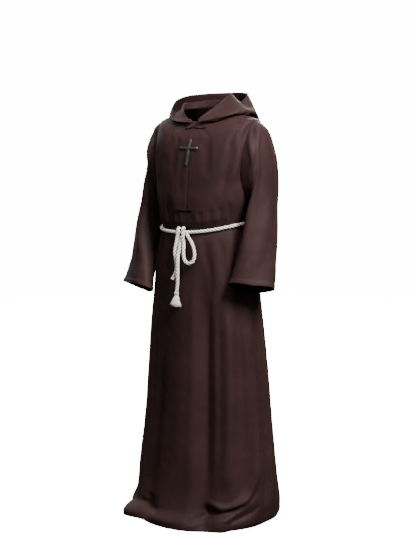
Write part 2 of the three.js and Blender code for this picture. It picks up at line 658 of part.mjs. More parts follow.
function fromManifold(solid) {
  const { numProp, vertProperties, triVerts } = solid.getMesh();
  const points = [];
  for (let i = 0; i < vertProperties.length; i += numProp)
    points.push(new THREE.Vector3(vertProperties[i], vertProperties[i + 1], vertProperties[i + 2]));
  return solidGeometry(points, [...triVerts]);
}

function joined(geometries) {
  return fromManifold(geometries.map(toManifold).reduce((a, b) => a.add(b)));
}

// Latin cross of two ridged bars that follow the breast
function crossGeometry() {
  const half = CROSS.width / 2;
  const profile = [[-half, 0], [-half, CROSS.edge], [0, CROSS.ridge], [half, CROSS.edge], [half, 0]];
  const { x, height, lean } = CROSS;
  const levels = between(height - CROSS.down, height + CROSS.up, 6);
  const upright = levels.map((at) => [x + lean * (at - height), at]);
  const arms = between(x - CROSS.arm, x + CROSS.arm, 6).map((at) => [at, height]);
  return joined([panelBar(upright, profile, 0.6), panelBar(arms, profile, 0.6)]);
}

function frogCord(route) {
  return panelBar(route, roundProfile(FROG_CORD, 8), FROG_CORD / 2 + 0.4);
}

// The ball knot that fastens the upper frog
function frogKnotGeometry() {
  const level = frontLevel(FROG_KNOT.height);
  const angle = frontAngle(FROG_KNOT.x, level);
  const radius = FROG_KNOT.size / 2;
  const place = body(angle, level).addScaledVector(bodyNormal(angle, level), radius + 0.5);
  return new THREE.SphereGeometry(radius, 10, 7).translate(place.x, place.y, place.z);
}

function barGeometry() {
  const half = BAR.width / 2;
  const profile = [[-half, 0], [-half, BAR.thick - 1], [-half + 1, BAR.thick], [half - 1, BAR.thick]];
  profile.push([half, BAR.thick - 1], [half, 0]);
  return panelBar(between(BAR.right, BAR.left, 6).map((x) => [x, BAR.height]), profile, 1.2);
}

// Round rope along a smooth curve
function ropeGeometry(points, steps, closed = false) {
  const section = new THREE.Shape(roundProfile(ROPE, ROPE_SIDES).map(([x, y]) => new THREE.Vector2(x, y)));
  const extrudePath = new THREE.CatmullRomCurve3(points, closed, "centripetal");
  return new THREE.ExtrudeGeometry(section, { steps, extrudePath });
}

function routed(rows) {
  return rows.map(([x, y, height]) => new THREE.Vector3(x, y, height - HOLD_HEIGHT));
}

// The rope round the waist, from one side of the knot round the back to the other
function beltGeometry() {
  const knot = frontAngle(KNOT_X, BELT_LEVEL);
  const gap = 0.002;
  const points = between(knot + gap, knot + 2 * Math.PI - gap, 40).map((angle) => {
    const n = normalOf(plainBody, angle, BELT_LEVEL, 0.05, 1);
    n.z = 0;
    return plainBody(angle, BELT_LEVEL).addScaledVector(n.normalize(), ROPE / 2 + 0.6);
  });
  return ropeGeometry(points, 64);
}

// Loose strands fanned out below a bound head
function tuftGeometry(route, size) {
  const [before, end] = route.slice(-2);
  const profile = [
    [0, 0], [size.head * 0.8, 0], [size.head, -size.headLength * 0.3], [size.head, -size.headLength * 0.7],
    [size.head * 0.85, -size.headLength], [0, -size.headLength],
  ];
  const head = new THREE.LatheGeometry(profile.map(([r, y]) => new THREE.Vector2(r, y)), 10);
  head.rotateX(Math.PI / 2);
  const pieces = [mergedPositions(head)];
  size.rings.forEach((count, ring) => {
    const share = ring / (size.rings.length - 0.6);
    for (let k = 0; k < count; k++) {
      const turn = (2 * Math.PI * (k + 0.35 * Math.sin(5 * k + ring))) / count;
      pieces.push(strandGeometry(size, share, turn, k + 3 * ring));
    }
  });
  const [x, y, height] = end;
  const [lastX, lastY, lastHeight] = before;
  const down = new THREE.Vector3(x - lastX, y - lastY, height - lastHeight).normalize();
  const tuft = joined(pieces).translate(0, 0, -SEAM_GAP);
  tuft.applyQuaternion(new THREE.Quaternion().setFromUnitVectors(new THREE.Vector3(0, 0, -1), down));
  return tuft.translate(x, y, height - HOLD_HEIGHT);
}

// One strand, from inside the head to its tip
function strandGeometry(size, share, turn, seed) {
  const rootAt = size.head * 0.8 * share;
  const tipAt = size.spread * share * (1 + 0.1 * Math.sin(seed * 2.3));
  const drop = size.length * (1 - 0.12 * share) * (1 + 0.05 * Math.sin(seed * 4.1));
  const rootZ = 1.5 - size.headLength;
  const points = [];
  for (const t of [0, 0.5, 1]) {
    const reach = rootAt + (tipAt - rootAt) * t ** 1.4;
    const depth = rootAt + TUFT_FLATNESS * (reach - rootAt);
    const thick = size.strand * (1 - 0.35 * t);
    for (const [across, out] of roundProfile(thick, 3)) {
      const x = reach * Math.cos(turn) + across;
      const y = depth * Math.sin(turn) + out;
      points.push(new THREE.Vector3(x, y, rootZ - (drop - size.headLength) * t));
    }
  }
  return loftGeometry(points, 3);
}

// The same shape with its shared corners as one point each
function mergedPositions(geometry) {
  const position = geometry.attributes.position;
  const index = geometry.index ? [...geometry.index.array] : [...Array(position.count).keys()];
  const places = new Map();
  const points = [];
  const corner = index.map((i) => {
    const point = new THREE.Vector3().fromBufferAttribute(position, i);
    const key = point.toArray().map((v) => Math.round(v * 1e4)).join();
    if (!places.has(key)) places.set(key, points.push(point) - 1);
    return places.get(key);
  });
  const faces = [];
  for (let i = 0; i < corner.length; i += 3) {
    const [a, b, c] = corner.slice(i, i + 3);
    if (a !== b && b !== c && c !== a) faces.push(a, b, c);
  }
  return solidGeometry(points, faces);
}

const group = new THREE.Group();

function add(name, geometry, look) {
  const mesh = new THREE.Mesh(geometry, new THREE.MeshStandardMaterial({ metalness: 0, ...look }));
  mesh.name = name;
  group.add(mesh);
}

add("front", frontGeometry(), BROWN);
add("back", backGeometry(), BROWN);
add("sleeve_left", sleeveGeometry(1, SLEEVE_SHIFT.left), BROWN);
add("sleeve_right", sleeveGeometry(-1, SLEEVE_SHIFT.right), BROWN);
add("hood_left", hoodGeometry(HOOD_LEFT, 1), BROWN_HOOD);
add("hood_right", hoodGeometry(HOOD_RIGHT, -1), BROWN_HOOD);
add("cross", crossGeometry(), PEWTER);
add("frog_right", frogCord(FROG_RIGHT), BLACK);
add("frog_left", frogCord(FROG_LEFT), BLACK);
add("frog_knot", frogKnotGeometry(), BLACK);
add("bar_lower", barGeometry(), BLACK);
add("belt", beltGeometry(), CREAM);
add("knot_wrap_right", ropeGeometry(routed(WRAP_RIGHT), 12), CREAM);
add("knot_wrap_left", ropeGeometry(routed(WRAP_LEFT), 12), CREAM);
add("bow_loop", ropeGeometry(routed(BOW_LOOP), 26), CREAM);
add("tail_short", ropeGeometry(routed(TAIL_SHORT), 12), CREAM);
add("tail_long", ropeGeometry(routed(TAIL_LONG), 16), CREAM);
add("fray_short", tuftGeometry(TAIL_SHORT, FRAY), CREAM);
add("tassel", tuftGeometry(TAIL_LONG, TASSEL), CREAM);

export default group;
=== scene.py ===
# Looks of the hooded monk robe: fine cloth shells, twisted rope, trim, camera and light.
# Sizes are in millimetres unless a name says otherwise. +Z is up, the front faces -Y and the
# wearer's left is +X. Heights in the tables are above the floor that the hem lies on.
import math

import bmesh  # noqa: E402
import bpy  # noqa: E402
import numpy as np  # noqa: E402
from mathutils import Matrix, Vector  # noqa: E402

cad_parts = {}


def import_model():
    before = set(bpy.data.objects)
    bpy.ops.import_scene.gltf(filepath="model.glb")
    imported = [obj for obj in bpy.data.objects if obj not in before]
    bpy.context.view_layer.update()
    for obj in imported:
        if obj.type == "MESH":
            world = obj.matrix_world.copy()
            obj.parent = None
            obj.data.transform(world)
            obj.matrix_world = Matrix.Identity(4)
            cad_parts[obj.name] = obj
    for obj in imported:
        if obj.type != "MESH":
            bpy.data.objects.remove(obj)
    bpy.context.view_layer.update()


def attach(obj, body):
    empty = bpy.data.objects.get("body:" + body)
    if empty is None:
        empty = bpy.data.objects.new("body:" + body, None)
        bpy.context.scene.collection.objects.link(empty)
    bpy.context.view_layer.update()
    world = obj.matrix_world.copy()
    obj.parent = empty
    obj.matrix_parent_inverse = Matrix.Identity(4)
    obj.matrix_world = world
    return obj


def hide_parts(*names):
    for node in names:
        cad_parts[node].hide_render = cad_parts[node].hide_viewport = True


M = 0.001
# Height of the frame's origin above the floor
HOLD_HEIGHT = 1470
# Thickness of the cloth and of its turned-up bands, and the width of each band
CLOTH = 1.2
HEM_CLOTH = 2.8
HEM_BAND = 24
CUFF_BAND = 20
RIM_BAND = 16
SEAM_GAP = 0.3
# Diameter of the rope
ROPE = 13

# Rows and columns of the cloth's meshes; the front's columns are for each of its halves
BACK_GRID = (250, 132)
FRONT_GRID = (290, 76)
SLEEVE_GRID = (150, 116)
HOOD_GRID = (120, 110)
# Slow unevenness of the cloth: depth, length and seed of each of two layers
BODY_RIPPLES = ((0.9, 150, 3), (0.35, 46, 8))
SLEEVE_RIPPLES = ((0.8, 120, 5), (0.3, 40, 6))
HOOD_RIPPLES = ((0.9, 90, 12), (0.35, 36, 13))

# Body: level is the height at the sides, front and back the heights there, right and left half
# widths, fore and aft depths; square is 2 for an ellipse, tilt lifts the wearer's left side
BODY_NAMES = ("level", "front", "back", "right", "left", "fore", "aft", "square", "tilt")
BODY = np.array([
    (0, 0, 0, 312, 282, 284, 260, 2, 0),
    (22, 22, 22, 308, 290, 280, 257, 2, 0),
    (60, 60, 60, 293, 292, 248, 238, 2, 0),
    (154, 154, 154, 286, 282, 222, 220, 2, 0),
    (297, 297, 297, 267, 266, 206, 206, 2, 0),
    (445, 445, 445, 252, 251, 192, 194, 2, 0),
    (676, 674, 678, 236, 228, 175, 178, 2, 0),
    (814, 807, 820, 226, 214, 165, 166, 2, 8),
    (960, 948, 970, 212, 202, 153, 154, 2.1, 20),
    (1060, 1042, 1078, 192, 190, 143, 142, 2.2, 28),
    (1092, 1073, 1111, 181, 180, 133, 131, 2.2, 28),
    (1105, 1085, 1125, 177, 176, 129, 127, 2.2, 28),
    (1118, 1098, 1139, 181, 180, 134, 131, 2.2, 28),
    (1145, 1127, 1162, 188, 187, 147, 140, 2.2, 24),
    (1200, 1190, 1208, 197, 197, 149, 141, 2.3, 0),
    (1265, 1248, 1266, 202, 204, 143, 141, 2.4, 0),
    (1340, 1312, 1338, 203, 210, 136, 141, 2.5, 0),
    (1425, 1376, 1410, 204, 213, 126, 138, 2.5, 0),
    (1490, 1424, 1464, 192, 207, 113, 126, 2.4, 0),
    (1508, 1447, 1492, 153, 164, 102, 110, 2.2, 0),
    (1521, 1468, 1520, 123, 126, 90, 95, 2, 0),
    (1532, 1486, 1544, 96, 96, 76, 80, 2, 0),
], float)
UNDERARM_LEVEL = 1200
SHOULDER_LEVEL = 1490
ARMHOLE_MIDDLE = (UNDERARM_LEVEL + SHOULDER_LEVEL) / 2
ARMHOLE_HALF = SHOULDER_LEVEL - ARMHOLE_MIDDLE
# How far the armhole reaches round from the side, and how far inside it the sleeve starts
ARMHOLE_DEGREES = 30
ARMHOLE_DEPTH = math.radians(ARMHOLE_DEGREES)
ARMHOLE_INSET = 0.0025
# The seam of the armhole draws the cloth in, this deep and over this width
ARMHOLE_PULL = {"depth": 2, "radius": 110, "width": 16, "clear": 12}
NECK_LEVEL = 1532
BELT_LEVEL = 1105
SLIT_FOOT_LEVEL = 1172
SLIT_WIDTH = 0.3
# Below this level the folds push the cloth less and less up or down
HEM_TURN = 260
# Longest stretch over which a fold begins at its foot
FADE_FOOT = 130
# Gathers at the belt: how many, how deep, and how far from it they start, are full and end
GATHERS = {"count": 19, "depth": 5, "clear": 13, "full": 42, "above": 150, "below": 240}

# Broad folds that the solids have too: angle in degrees (0 the wearer's left, -90 the front),
# half width in degrees, depth, low and high level, lean in degrees per metre
FOLDS = (
    (-67, 13, -17, -40, 1085, -3), (-45, 12, 9, 60, 1000, 4), (-23, 11, 10, -40, 900, 2),
    (-8, 9, -9, -40, 980, 0), (-98, 15, 5, -40, 900, 0), (-116, 9, -7, -40, 760, 4),
    (-131, 11, 9, -40, 1040, -5), (-149, 10, -10, -40, 1000, 0), (-168, 10, 8, -40, 960, 3),
    (10, 10, 7, -40, 940, 2), (28, 11, -12, -40, 1060, -3), (50, 13, 9, -40, 1000, 3),
    (73, 11, -14, -40, 1080, 0), (96, 13, 8, -40, 980, -3), (119, 12, -13, -40, 1070, 2),
    (141, 12, 9, -40, 1010, -2), (162, 9, -9, -40, 950, 0), (-62, 9, -16, -12, 100, 0),
    (-48, 8, 11, -60, 80, 0), (-113, 11, -12, 0, 100, 0), (-131, 17, 36, -60, 52, 0),
    (-28, 12, -6, 1240, 1445, 60), (-41, 9, 5, 1260, 1452, 60), (-54, 9, -5, 1230, 1450, 40),
    (-148, 11, -6, 1230, 1450, -50), (-133, 9, 5, 1250, 1452, -50),
    (-106, 8, -4, 1290, 1500, 10), (-74, 8, -4, 1300, 1500, -10), (52, 12, -6, 1220, 1440, 30),
    (92, 12, -5, 1200, 1430, 0), (130, 12, -6, 1220, 1440, -30),
)

# Creases: depth outwards, half width to each side, sharpness from 0 to 1, and the points of
# the line as (degrees, level)
CREASES = (
    (-9, 34, 28, 0.3, ((-61, 930), (-64, 700), (-65, 480), (-65.5, 290), (-66, 110))),
    (9, 36, 34, 0.15, ((-46, 880), (-45, 700), (-46, 440), (-49, 219), (-53, 125))),
    (13, 20, 40, 0.6, ((-14, 850), (-10.5, 651), (-12.5, 489), (-17.5, 321), (-21, 216),
                      (-29, 129), (-39, 78), (-45, 52))),
    (-14, 36, 34, 0.3, ((-4, 860), (-1, 648), (0, 459), (-2, 270), (-7, 123), (-15, 50))),
    (3, 34, 28, 0.2, ((-137, 780), (-142, 579), (-141, 423), (-133, 237), (-127, 75))),
    (-4, 34, 34, 0.1, ((-150, 760), (-153, 579), (-152, 423), (-146, 237), (-141, 70))),
    (-5, 50, 46, 0, ((-102, 820), (-100, 534), (-100, 345), (-100, 130))),
    (1.5, 22, 26, 0.2, ((-27, 780), (-25.5, 546), (-27, 363), (-34, 180))),
    (-7, 20, 18, 0.25, ((-80, 26), (-70, 36), (-62, 50), (-54, 70))),
    (8, 16, 22, 0.3, ((-65, 106), (-57, 88), (-48, 84), (-38, 100), (-28, 135))),
    (-9, 15, 17, 0.4, ((-68, 82), (-60, 62), (-52, 60), (-42, 74), (-32, 104))),
    (6, 16, 16, 0.25, ((-60, 36), (-50, 44), (-40, 60), (-30, 88), (-22, 122))),
    (-5, 14, 15, 0.3, ((-49, 20), (-38, 38), (-27, 60), (-19, 92))),
    (-9, 18, 18, 0.3, ((-129, 62), (-119, 50), (-110, 46), (-99, 44))),
    (3, 20, 20, 0.1, ((-136, 18), (-122, 17), (-108, 19), (-92, 24), (-80, 30))),
    (-3, 24, 24, 0.15, ((-113, 1086), (-110, 1014), (-113, 900))),
    (-4, 24, 22, 0.2, ((-136, 1092), (-132.5, 1026), (-136, 924), (-138, 800))),
    (-4, 24, 20, 0.25, ((-71.5, 1082), (-68.5, 1014), (-62.5, 939), (-60.5, 830))),
    (-2.5, 22, 20, 0.2, ((-54, 1084), (-49.5, 1008), (-46.5, 880))),
    (-3, 24, 22, 0.2, ((-29, 1090), (-31, 1017), (-34.5, 890))),
    (-3, 12, 12, 0.3, ((-101, 1120), (-101, 1178))),
    (-2.5, 11, 11, 0.3, ((-84, 1120), (-84.5, 1162))),
    (-3, 12, 12, 0.3, ((-75.5, 1118), (-75.5, 1176))),
    (-3, 12, 13, 0.3, ((-63, 1116), (-63.5, 1184))),
    (-3, 12, 12, 0.3, ((-49.5, 1118), (-52, 1190))),
    (-4, 14, 14, 0.3, ((-36, 1120), (-41, 1205))),
    (-3, 12, 12, 0.3, ((-118, 1122), (-117, 1190))),
    (-3.5, 44, 40, 0, ((-55, 1140), (-54.5, 1215), (-53.5, 1272), (-50, 1350))),
    (-2, 14, 11, 0.3, ((-116, 1526), (-107.5, 1506), (-101.5, 1450))),
    (-2.5, 18, 16, 0.2, ((-129, 1521), (-116, 1491), (-114.5, 1410))),
    (-1.5, 12, 12, 0.2, ((-82, 1528), (-75, 1506), (-73.5, 1450))),
    (-2.5, 34, 32, 0, ((-111, 1430), (-114, 1311), (-116.5, 1206), (-116, 1150))),
    (-1.6, 13, 12, 0.2, ((-96, 1461), (-96.5, 1338), (-96, 1212))),
    (-3, 20, 18, 0.2, ((-22, 1506), (-44, 1470), (-50, 1405))),
    (-3, 18, 17, 0.2, ((-15, 1486), (-29, 1434), (-31, 1370))),
    (1.2, 18, 18, 0.1, ((-28, 1492), (-38, 1450), (-39, 1390))),
    (-3.5, 16, 16, 0.3, ((-165, 1486), (-152, 1434), (-150, 1370))),
    (-4, 26, 22, 0.2, ((40, 1090), (42, 1000), (38, 880))),
    (-3.5, 22, 22, 0.2, ((62, 1088), (60, 990), (64, 900))),
    (-4, 24, 22, 0.2, ((84, 1086), (86, 1000), (83, 860))),
    (-3, 22, 22, 0.2, ((104, 1088), (102, 1010), (106, 920))),
    (-4, 24, 26, 0.2, ((128, 1088), (131, 1000), (127, 880))),
    (-3, 22, 22, 0.2, ((150, 1092), (148, 1000), (152, 900))),
    (-3, 16, 16, 0.3, ((36, 1126), (40, 1200))),
    (-3, 16, 16, 0.3, ((55, 1128), (56, 1190))),
    (-3, 16, 16, 0.3, ((93, 1130), (94, 1195))),
    (-3, 16, 16, 0.3, ((133, 1126), (130, 1190))),
    (-4, 40, 40, 0, ((70, 1400), (68, 1300), (72, 1180))),
    (-4, 40, 40, 0, ((112, 1390), (115, 1290), (110, 1170))),
    (5, 26, 32, 0.3, ((38, 860), (40, 560), (36, 300), (38, 60))),
    (-5, 30, 26, 0.3, ((72, 1000), (74, 640), (71, 330), (73, 40))),
    (5, 28, 28, 0.2, ((96, 900), (94, 560), (97, 260), (96, 60))),
    (-5, 28, 28, 0.3, ((119, 980), (121, 620), (117, 300), (119, 40))),
    (5, 28, 24, 0.3, ((143, 840), (141, 520), (145, 240), (142, 60))),
    (6, 18, 20, 0.25, ((50, 60), (62, 40), (76, 44), (88, 66))),
    (-5, 16, 18, 0.25, ((56, 30), (68, 22), (80, 32))),
    (6, 19, 18, 0.25, ((106, 70), (118, 46), (132, 44), (146, 64))),
    (-5, 16, 18, 0.25, ((114, 28), (126, 22), (138, 30))),
)

# The wearer's left sleeve, a row for each section below the armhole
SLEEVE_NAMES = ("x", "y", "height", "out", "rise", "across", "turn")
SLEEVE = np.array([
    (220, 2, 1330, 12, 139, 80, 0),
    (228, 3, 1299, 18, 134, 75, 0),
    (234, 4, 1256, 24, 122, 71, 0),
    (238, 4, 1202, 31, 101, 68, 0),
    (241, -1, 1136, 40, 70, 67, -2),
    (246, -18, 1064, 45, 42, 70, -12),
    (249, -42, 998, 45, 27, 76, -28),
    (249, -69, 938, 45, 20, 83, -43),
    (247, -95, 886, 43, 20, 88, -55),
], float)
# How far each sleeve lies outward below the shoulder and at the cuff, how far its cuff hangs
# lower, how far its front edge bulges forwards and inwards at the elbow, how much wider its cuff
# is to each side and how much higher the cuff's front corner lies
SLEEVE_SHIFT = {1: (6, -2, -1, 27, 15, -5, 20), -1: (-13, 12, 30, 10, 0, 25, 15)}
ELBOW = {"at": 0.62, "reach": 0.38}
# Broad folds: degrees, half width, depth, first and last share of the length, lean
SLEEVE_FOLDS = (
    (60, 34, -4, 0.02, 0.55, 50), (28, 26, 3, 0.05, 0.6, 40), (100, 34, -6, 0.3, 0.85, -70),
    (20, 30, -3, 0.45, 1.1, 30), (75, 34, 3, 0.55, 1.2, 0), (250, 38, -8, 0.25, 0.8, 60),
    (310, 34, -6, 0.1, 0.7, -40), (285, 30, 5, 0.5, 1.2, 0),
)
# Length of a sleeve and its mean radius
SLEEVE_LONG = 640
SLEEVE_ROUND = 74
# Sleeve creases, as above, with points as (degrees from the outer edge by the front, share of
# the way from armhole to cuff)
SLEEVE_CREASES = {
    1: (
        (-4, 18, 20, 0.25, ((40, 0.0), (62, 0.08), (85, 0.18))),
        (2.5, 20, 20, 0.1, ((22, 0.0), (45, 0.1), (72, 0.26), (88, 0.42))),
        (-3.5, 15, 17, 0.3, ((14, 0.02), (30, 0.12), (50, 0.24))),
        (-5, 26, 22, 0.25, ((106, 0.2), (100, 0.4), (94, 0.62))),
        (2, 30, 30, 0, ((38, 0.5), (46, 0.7), (50, 0.9))),
        (-3, 28, 28, 0.1, ((12, 0.5), (16, 0.7), (14, 0.92))),
        (-5, 24, 24, 0.3, ((250, 0.1), (262, 0.4), (255, 0.7))),
        (-4, 22, 22, 0.3, ((300, 0.05), (292, 0.3), (305, 0.55))),
        (3, 22, 22, 0.2, ((330, 0.2), (322, 0.5), (332, 0.8))),
    ),
    -1: (
        (-5, 18, 18, 0.3, ((48, 0.0), (66, 0.12), (84, 0.26))),
        (3, 18, 18, 0.2, ((28, 0.04), (44, 0.2), (58, 0.4))),
        (-4, 24, 22, 0.2, ((76, 0.3), (66, 0.55), (62, 0.8))),
        (2, 28, 28, 0, ((36, 0.42), (38, 0.7), (44, 0.95))),
        (-3, 26, 26, 0.1, ((10, 0.4), (14, 0.65), (12, 0.9))),
        (-5, 24, 24, 0.3, ((252, 0.12), (260, 0.4), (252, 0.72))),
        (-4, 22, 22, 0.3, ((298, 0.05), (294, 0.32), (306, 0.6))),
    ),
}

# The hood: neck angle, level that the underside rests on, droop of its foot, then the x, y and
# height of its outer edge and of its rim
HOOD_NAMES = ("neck", "lie", "foot", "outX", "outY", "outH", "rimX", "rimY", "rimH")
HOOD = {
    1: np.array([
        (-80, 1528, 0, 16, -95, 1484, 14, -84, 1496),
        (-62, 1523, 2, 62, -87, 1494, 42, -56, 1524),
        (-38, 1518, 3, 115, -70, 1506, 70, -20, 1556),
        (-14, 1513, 4, 154, -38, 1519, 96, 4, 1583),
        (10, 1509, 5, 172, 8, 1524, 124, 22, 1555),
        (33, 1503, 4, 168, 74, 1508, 132, 60, 1583),
        (60, 1456, 22, 132, 150, 1456, 84, 122, 1592),
        (90, 1418, 44, 0, 184, 1412, 0, 150, 1594),
    ], float),
    -1: np.array([
        (-100, 1528, 0, -22, -95, 1483, -20, -83, 1494),
        (-120, 1523, 2, -70, -89, 1486, -66, -74, 1494),
        (-142, 1518, 3, -118, -73, 1494, -110, -57, 1500),
        (-166, 1515, 4, -148, -38, 1508, -137, -29, 1530),
        (-190, 1512, 5, -160, 8, 1522, -143, 4, 1562),
        (-213, 1503, 4, -164, 74, 1507, -130, 58, 1581),
        (-240, 1456, 22, -132, 150, 1456, -84, 122, 1590),
        (-270, 1418, 44, 0, 184, 1412, 0, 150, 1594),
    ], float),
}
HOOD_LIFT = 6
HOOD_SEAM_GAP = 1
# Before it lies down, the hood stands up round the neck: this high, and this far out
HOOD_STAND = {"height": 22, "out": 3}
# Shares of the way down the neck at which it lies, and of the way out at which its foot is
HOOD_RESTS = (0.3, 0.52, 0.76, 1)
HOOD_FOOT = 0.6
# Length of a half's neckline and its depth from neckline to rim
HOOD_ROUND = 420
HOOD_DEEP = 260
# Creases of the hood: points as (share from its front to the centre back, share from the
# neckline to the rim)
HOOD_CREASES = {
    1: (
        (4, 12, 12, 0.5, ((0.3, 0.72), (0.42, 0.8), (0.5, 0.92))),
        (-5, 12, 12, 0.5, ((0.36, 0.62), (0.5, 0.7), (0.58, 0.84))),
        (-3, 10, 10, 0.4, ((0.12, 0.74), (0.26, 0.7), (0.4, 0.66))),
        (-4, 14, 14, 0.4, ((0.7, 0.45), (0.76, 0.62), (0.74, 0.85))),
        (3, 12, 12, 0.4, ((0.84, 0.4), (0.9, 0.6), (0.88, 0.9))),
    ),
    -1: (
        (-3, 9, 9, 0.4, ((0.1, 0.8), (0.22, 0.76), (0.34, 0.72))),
        (-4, 12, 12, 0.4, ((0.5, 0.5), (0.56, 0.66), (0.6, 0.86))),
        (3, 12, 12, 0.4, ((0.66, 0.5), (0.7, 0.66), (0.68, 0.9))),
        (-4, 14, 14, 0.4, ((0.8, 0.42), (0.84, 0.6), (0.82, 0.88))),
    ),
}

# Trim on the breast
CROSS = {"x": -6, "height": 1389, "up": 33, "down": 63, "arm": 40, "width": 12.5, "ridge": 4.4,
         "lean": 0.1}
FROG_CORD = 4
FROG_PITCH = 8
FROG_RIGHT = ((-38, 1458), (-27, 1457), (-16, 1461), (-8, 1464))
FROG_LEFT = ((0, 1464), (14, 1462), (30, 1459), (48, 1459))
FROG_KNOT = {"x": -4, "height": 1466, "size": 7, "cord": 2.6, "pitch": 9}
BAR = {"right": -44, "left": 24, "height": 1165, "width": 6.5, "thick": 3}
# Length over which a trim's ends grow to its full height
TRIM_TAPER = 3
STITCH = {"pitch": 3.2, "long": 2.3, "thick": 0.45}
# The slit's two rows of stitches: how far from it, how far below its foot, and their top
SLIT_ROWS = {"out": 7, "below": 14, "top": 1524}

# Routes of the rope at the front: x, y, height
KNOT_X = -28
WRAP_RIGHT = (
    (-38, -137.7, 1098), (-38, -142.7, 1098), (-39, -146.7, 1092), (-39, -147.2, 1082),
    (-40, -148.4, 1070), (-41, -150, 1061),
)
WRAP_LEFT = (
    (-16, -139.4, 1100), (-16, -144.4, 1100), (-16, -148.4, 1094), (-15, -148.9, 1084),
    (-14, -150.2, 1072), (-12, -152, 1062),
)
TAIL_SHORT = (
    (-41.1, -150.1, 1060.5), (-42.8, -152, 1045), (-45, -155, 1028), (-45, -158, 1010),
    (-42, -160, 994), (-38, -161, 978), (-35, -162, 962), (-35, -164, 948), (-38, -167, 934),
    (-42, -170, 923),
)
TAIL_LONG = (
    (-29.2, -140.7, 1071.6), (-28.2, -145.5, 1058), (-26, -152, 1042), (-24, -160, 1024),
    (-23, -168, 1008), (-22, -173, 992), (-21, -176, 976), (-20, -178, 960), (-19, -179, 944),
    (-19, -180, 928), (-19, -180, 912), (-20, -180, 896), (-22, -180, 880), (-23, -180, 868),
)
BOW_LOOP = (
    (-11.9, -152.1, 1061.5), (-8.7, -153.8, 1045.5), (-6, -159, 1024), (-3, -164, 1004),
    (4, -167, 986), (15, -169, 976), (27, -169, 975), (38, -167, 983), (44, -164, 998),
    (42, -161, 1016), (34, -157, 1036), (22, -153, 1054), (9, -150.5, 1069),
    (-0.5, -149.6, 1082),
)
# Length of one full turn of the rope's three strands, and of a cord that isn't twisted
ROPE_PITCH = 39
NO_TWIST = 1e9
# Points round the rope and spacing of its sections
ROPE_SIDES = 36
ROPE_STEP = 2.2
# Share of its thickness with which a thin cord starts and ends
ROUNDED_END = 0.3
# Radii, as shares of the rope's diameter, between which the painted shade in its grooves fades out
GROOVE_LOW = 0.4
GROOVE_HIGH = 0.5
# How far the strands' middles lie from the rope's, as a share of its diameter
STRAND_OUT = 0.25
# How flat a tuft hangs, as depth over width
TUFT_FLATNESS = 0.42
TUFT_STEPS = 9
TASSEL = {"length": 61, "spread": 27, "head": 8.5, "head_length": 14, "strands": 240, "thick": 1.1}
FRAY = {"length": 16, "spread": 9, "head": 6.2, "head_length": 6, "strands": 110, "thick": 0.8}
TASSEL_BINDING = {"radius": 7.4, "turns": 5, "long": 9, "thread": 2.2}
FRAY_BINDING = {"radius": 6, "turns": 2, "long": 2.6, "thread": 1.4}

# The camera of the photo
AZIMUTH = math.radians(32)
PITCH = math.radians(8.12)
CAMERA_AWAY_M = 4.2
CAMERA_HEIGHT_M = 0.03
LENS = 72.62

# White light from all round, the backdrop's brightness, and how much the floor glows
AROUND_LIGHT = 0.6
BACKDROP_LIGHT = 15
FLOOR_GLOW = 14.5
# Area lights: degrees from the robe's front towards its left, distance and height in metres,
# width and height of the light, power in watts and the point aimed at
LIGHTS = {
    "key": (67, 2.5, 2.0, (0.8, 1.5), 510, (0, 0, -0.3)),
    "front": (2, 3.0, 1.9, (1.6, 1.6), 50, (0, 0, -0.6)),
    "top": (20, 1.2, 3.0, (2.4, 2.4), 40, (0, 0, -0.6)),
    "back": (196, 3.6, 1.8, (1.6, 2.2), 330, (0, 0, -0.6)),
    "far_side": (-112, 3.8, 1.6, (1.2, 2.2), 130, (0, 0, -0.6)),
}


# Maths shared by the pieces


def smooth(t):
    x = np.clip(t, 0, 1)
    return x * x * (3 - 2 * x)


def bump(distance, half_width):
    near = np.abs(distance) < half_width
    return np.where(near, 0.5 + 0.5 * np.cos(np.pi * distance / half_width), 0)


def turn_between(a, b):
    return (a - b + 180) % 360 - 180


def fade(at, low, high):
    ease = 0.32 * (high - low)
    return smooth((at - low) / min(ease, FADE_FOOT)) * smooth((high - at) / ease)


def unit(vectors):
    size = np.linalg.norm(vectors, axis=-1, keepdims=True)
    return vectors / np.maximum(size, 1e-9)


def column_at(table, column, at):
    """Monotone cubic through one column of a table, by its first column."""
    x, y = table[:, 0], table[:, column]
    slope = np.diff(y) / np.diff(x)
    tangent = np.empty(len(x))
    tangent[0], tangent[-1] = slope[0], slope[-1]
    product = slope[:-1] * slope[1:]
    total = np.where(slope[:-1] + slope[1:] == 0, 1, slope[:-1] + slope[1:])
    tangent[1:-1] = np.where(product <= 0, 0, 2 * product / total)
    at = np.clip(at, x[0], x[-1])
    i = np.clip(np.searchsorted(x, at, side="right") - 1, 0, len(x) - 2)
    span = x[i + 1] - x[i]
    t = (at - x[i]) / span
    rise = y[i + 1] - y[i]
    a, b = tangent[i] * span, tangent[i + 1] * span
    return y[i] + t * (a + t * (3 * rise - 2 * a - b + t * (a + b - 2 * rise)))


def section_at(level):
    return {name: column_at(BODY, k, level) for k, name in enumerate(BODY_NAMES)}


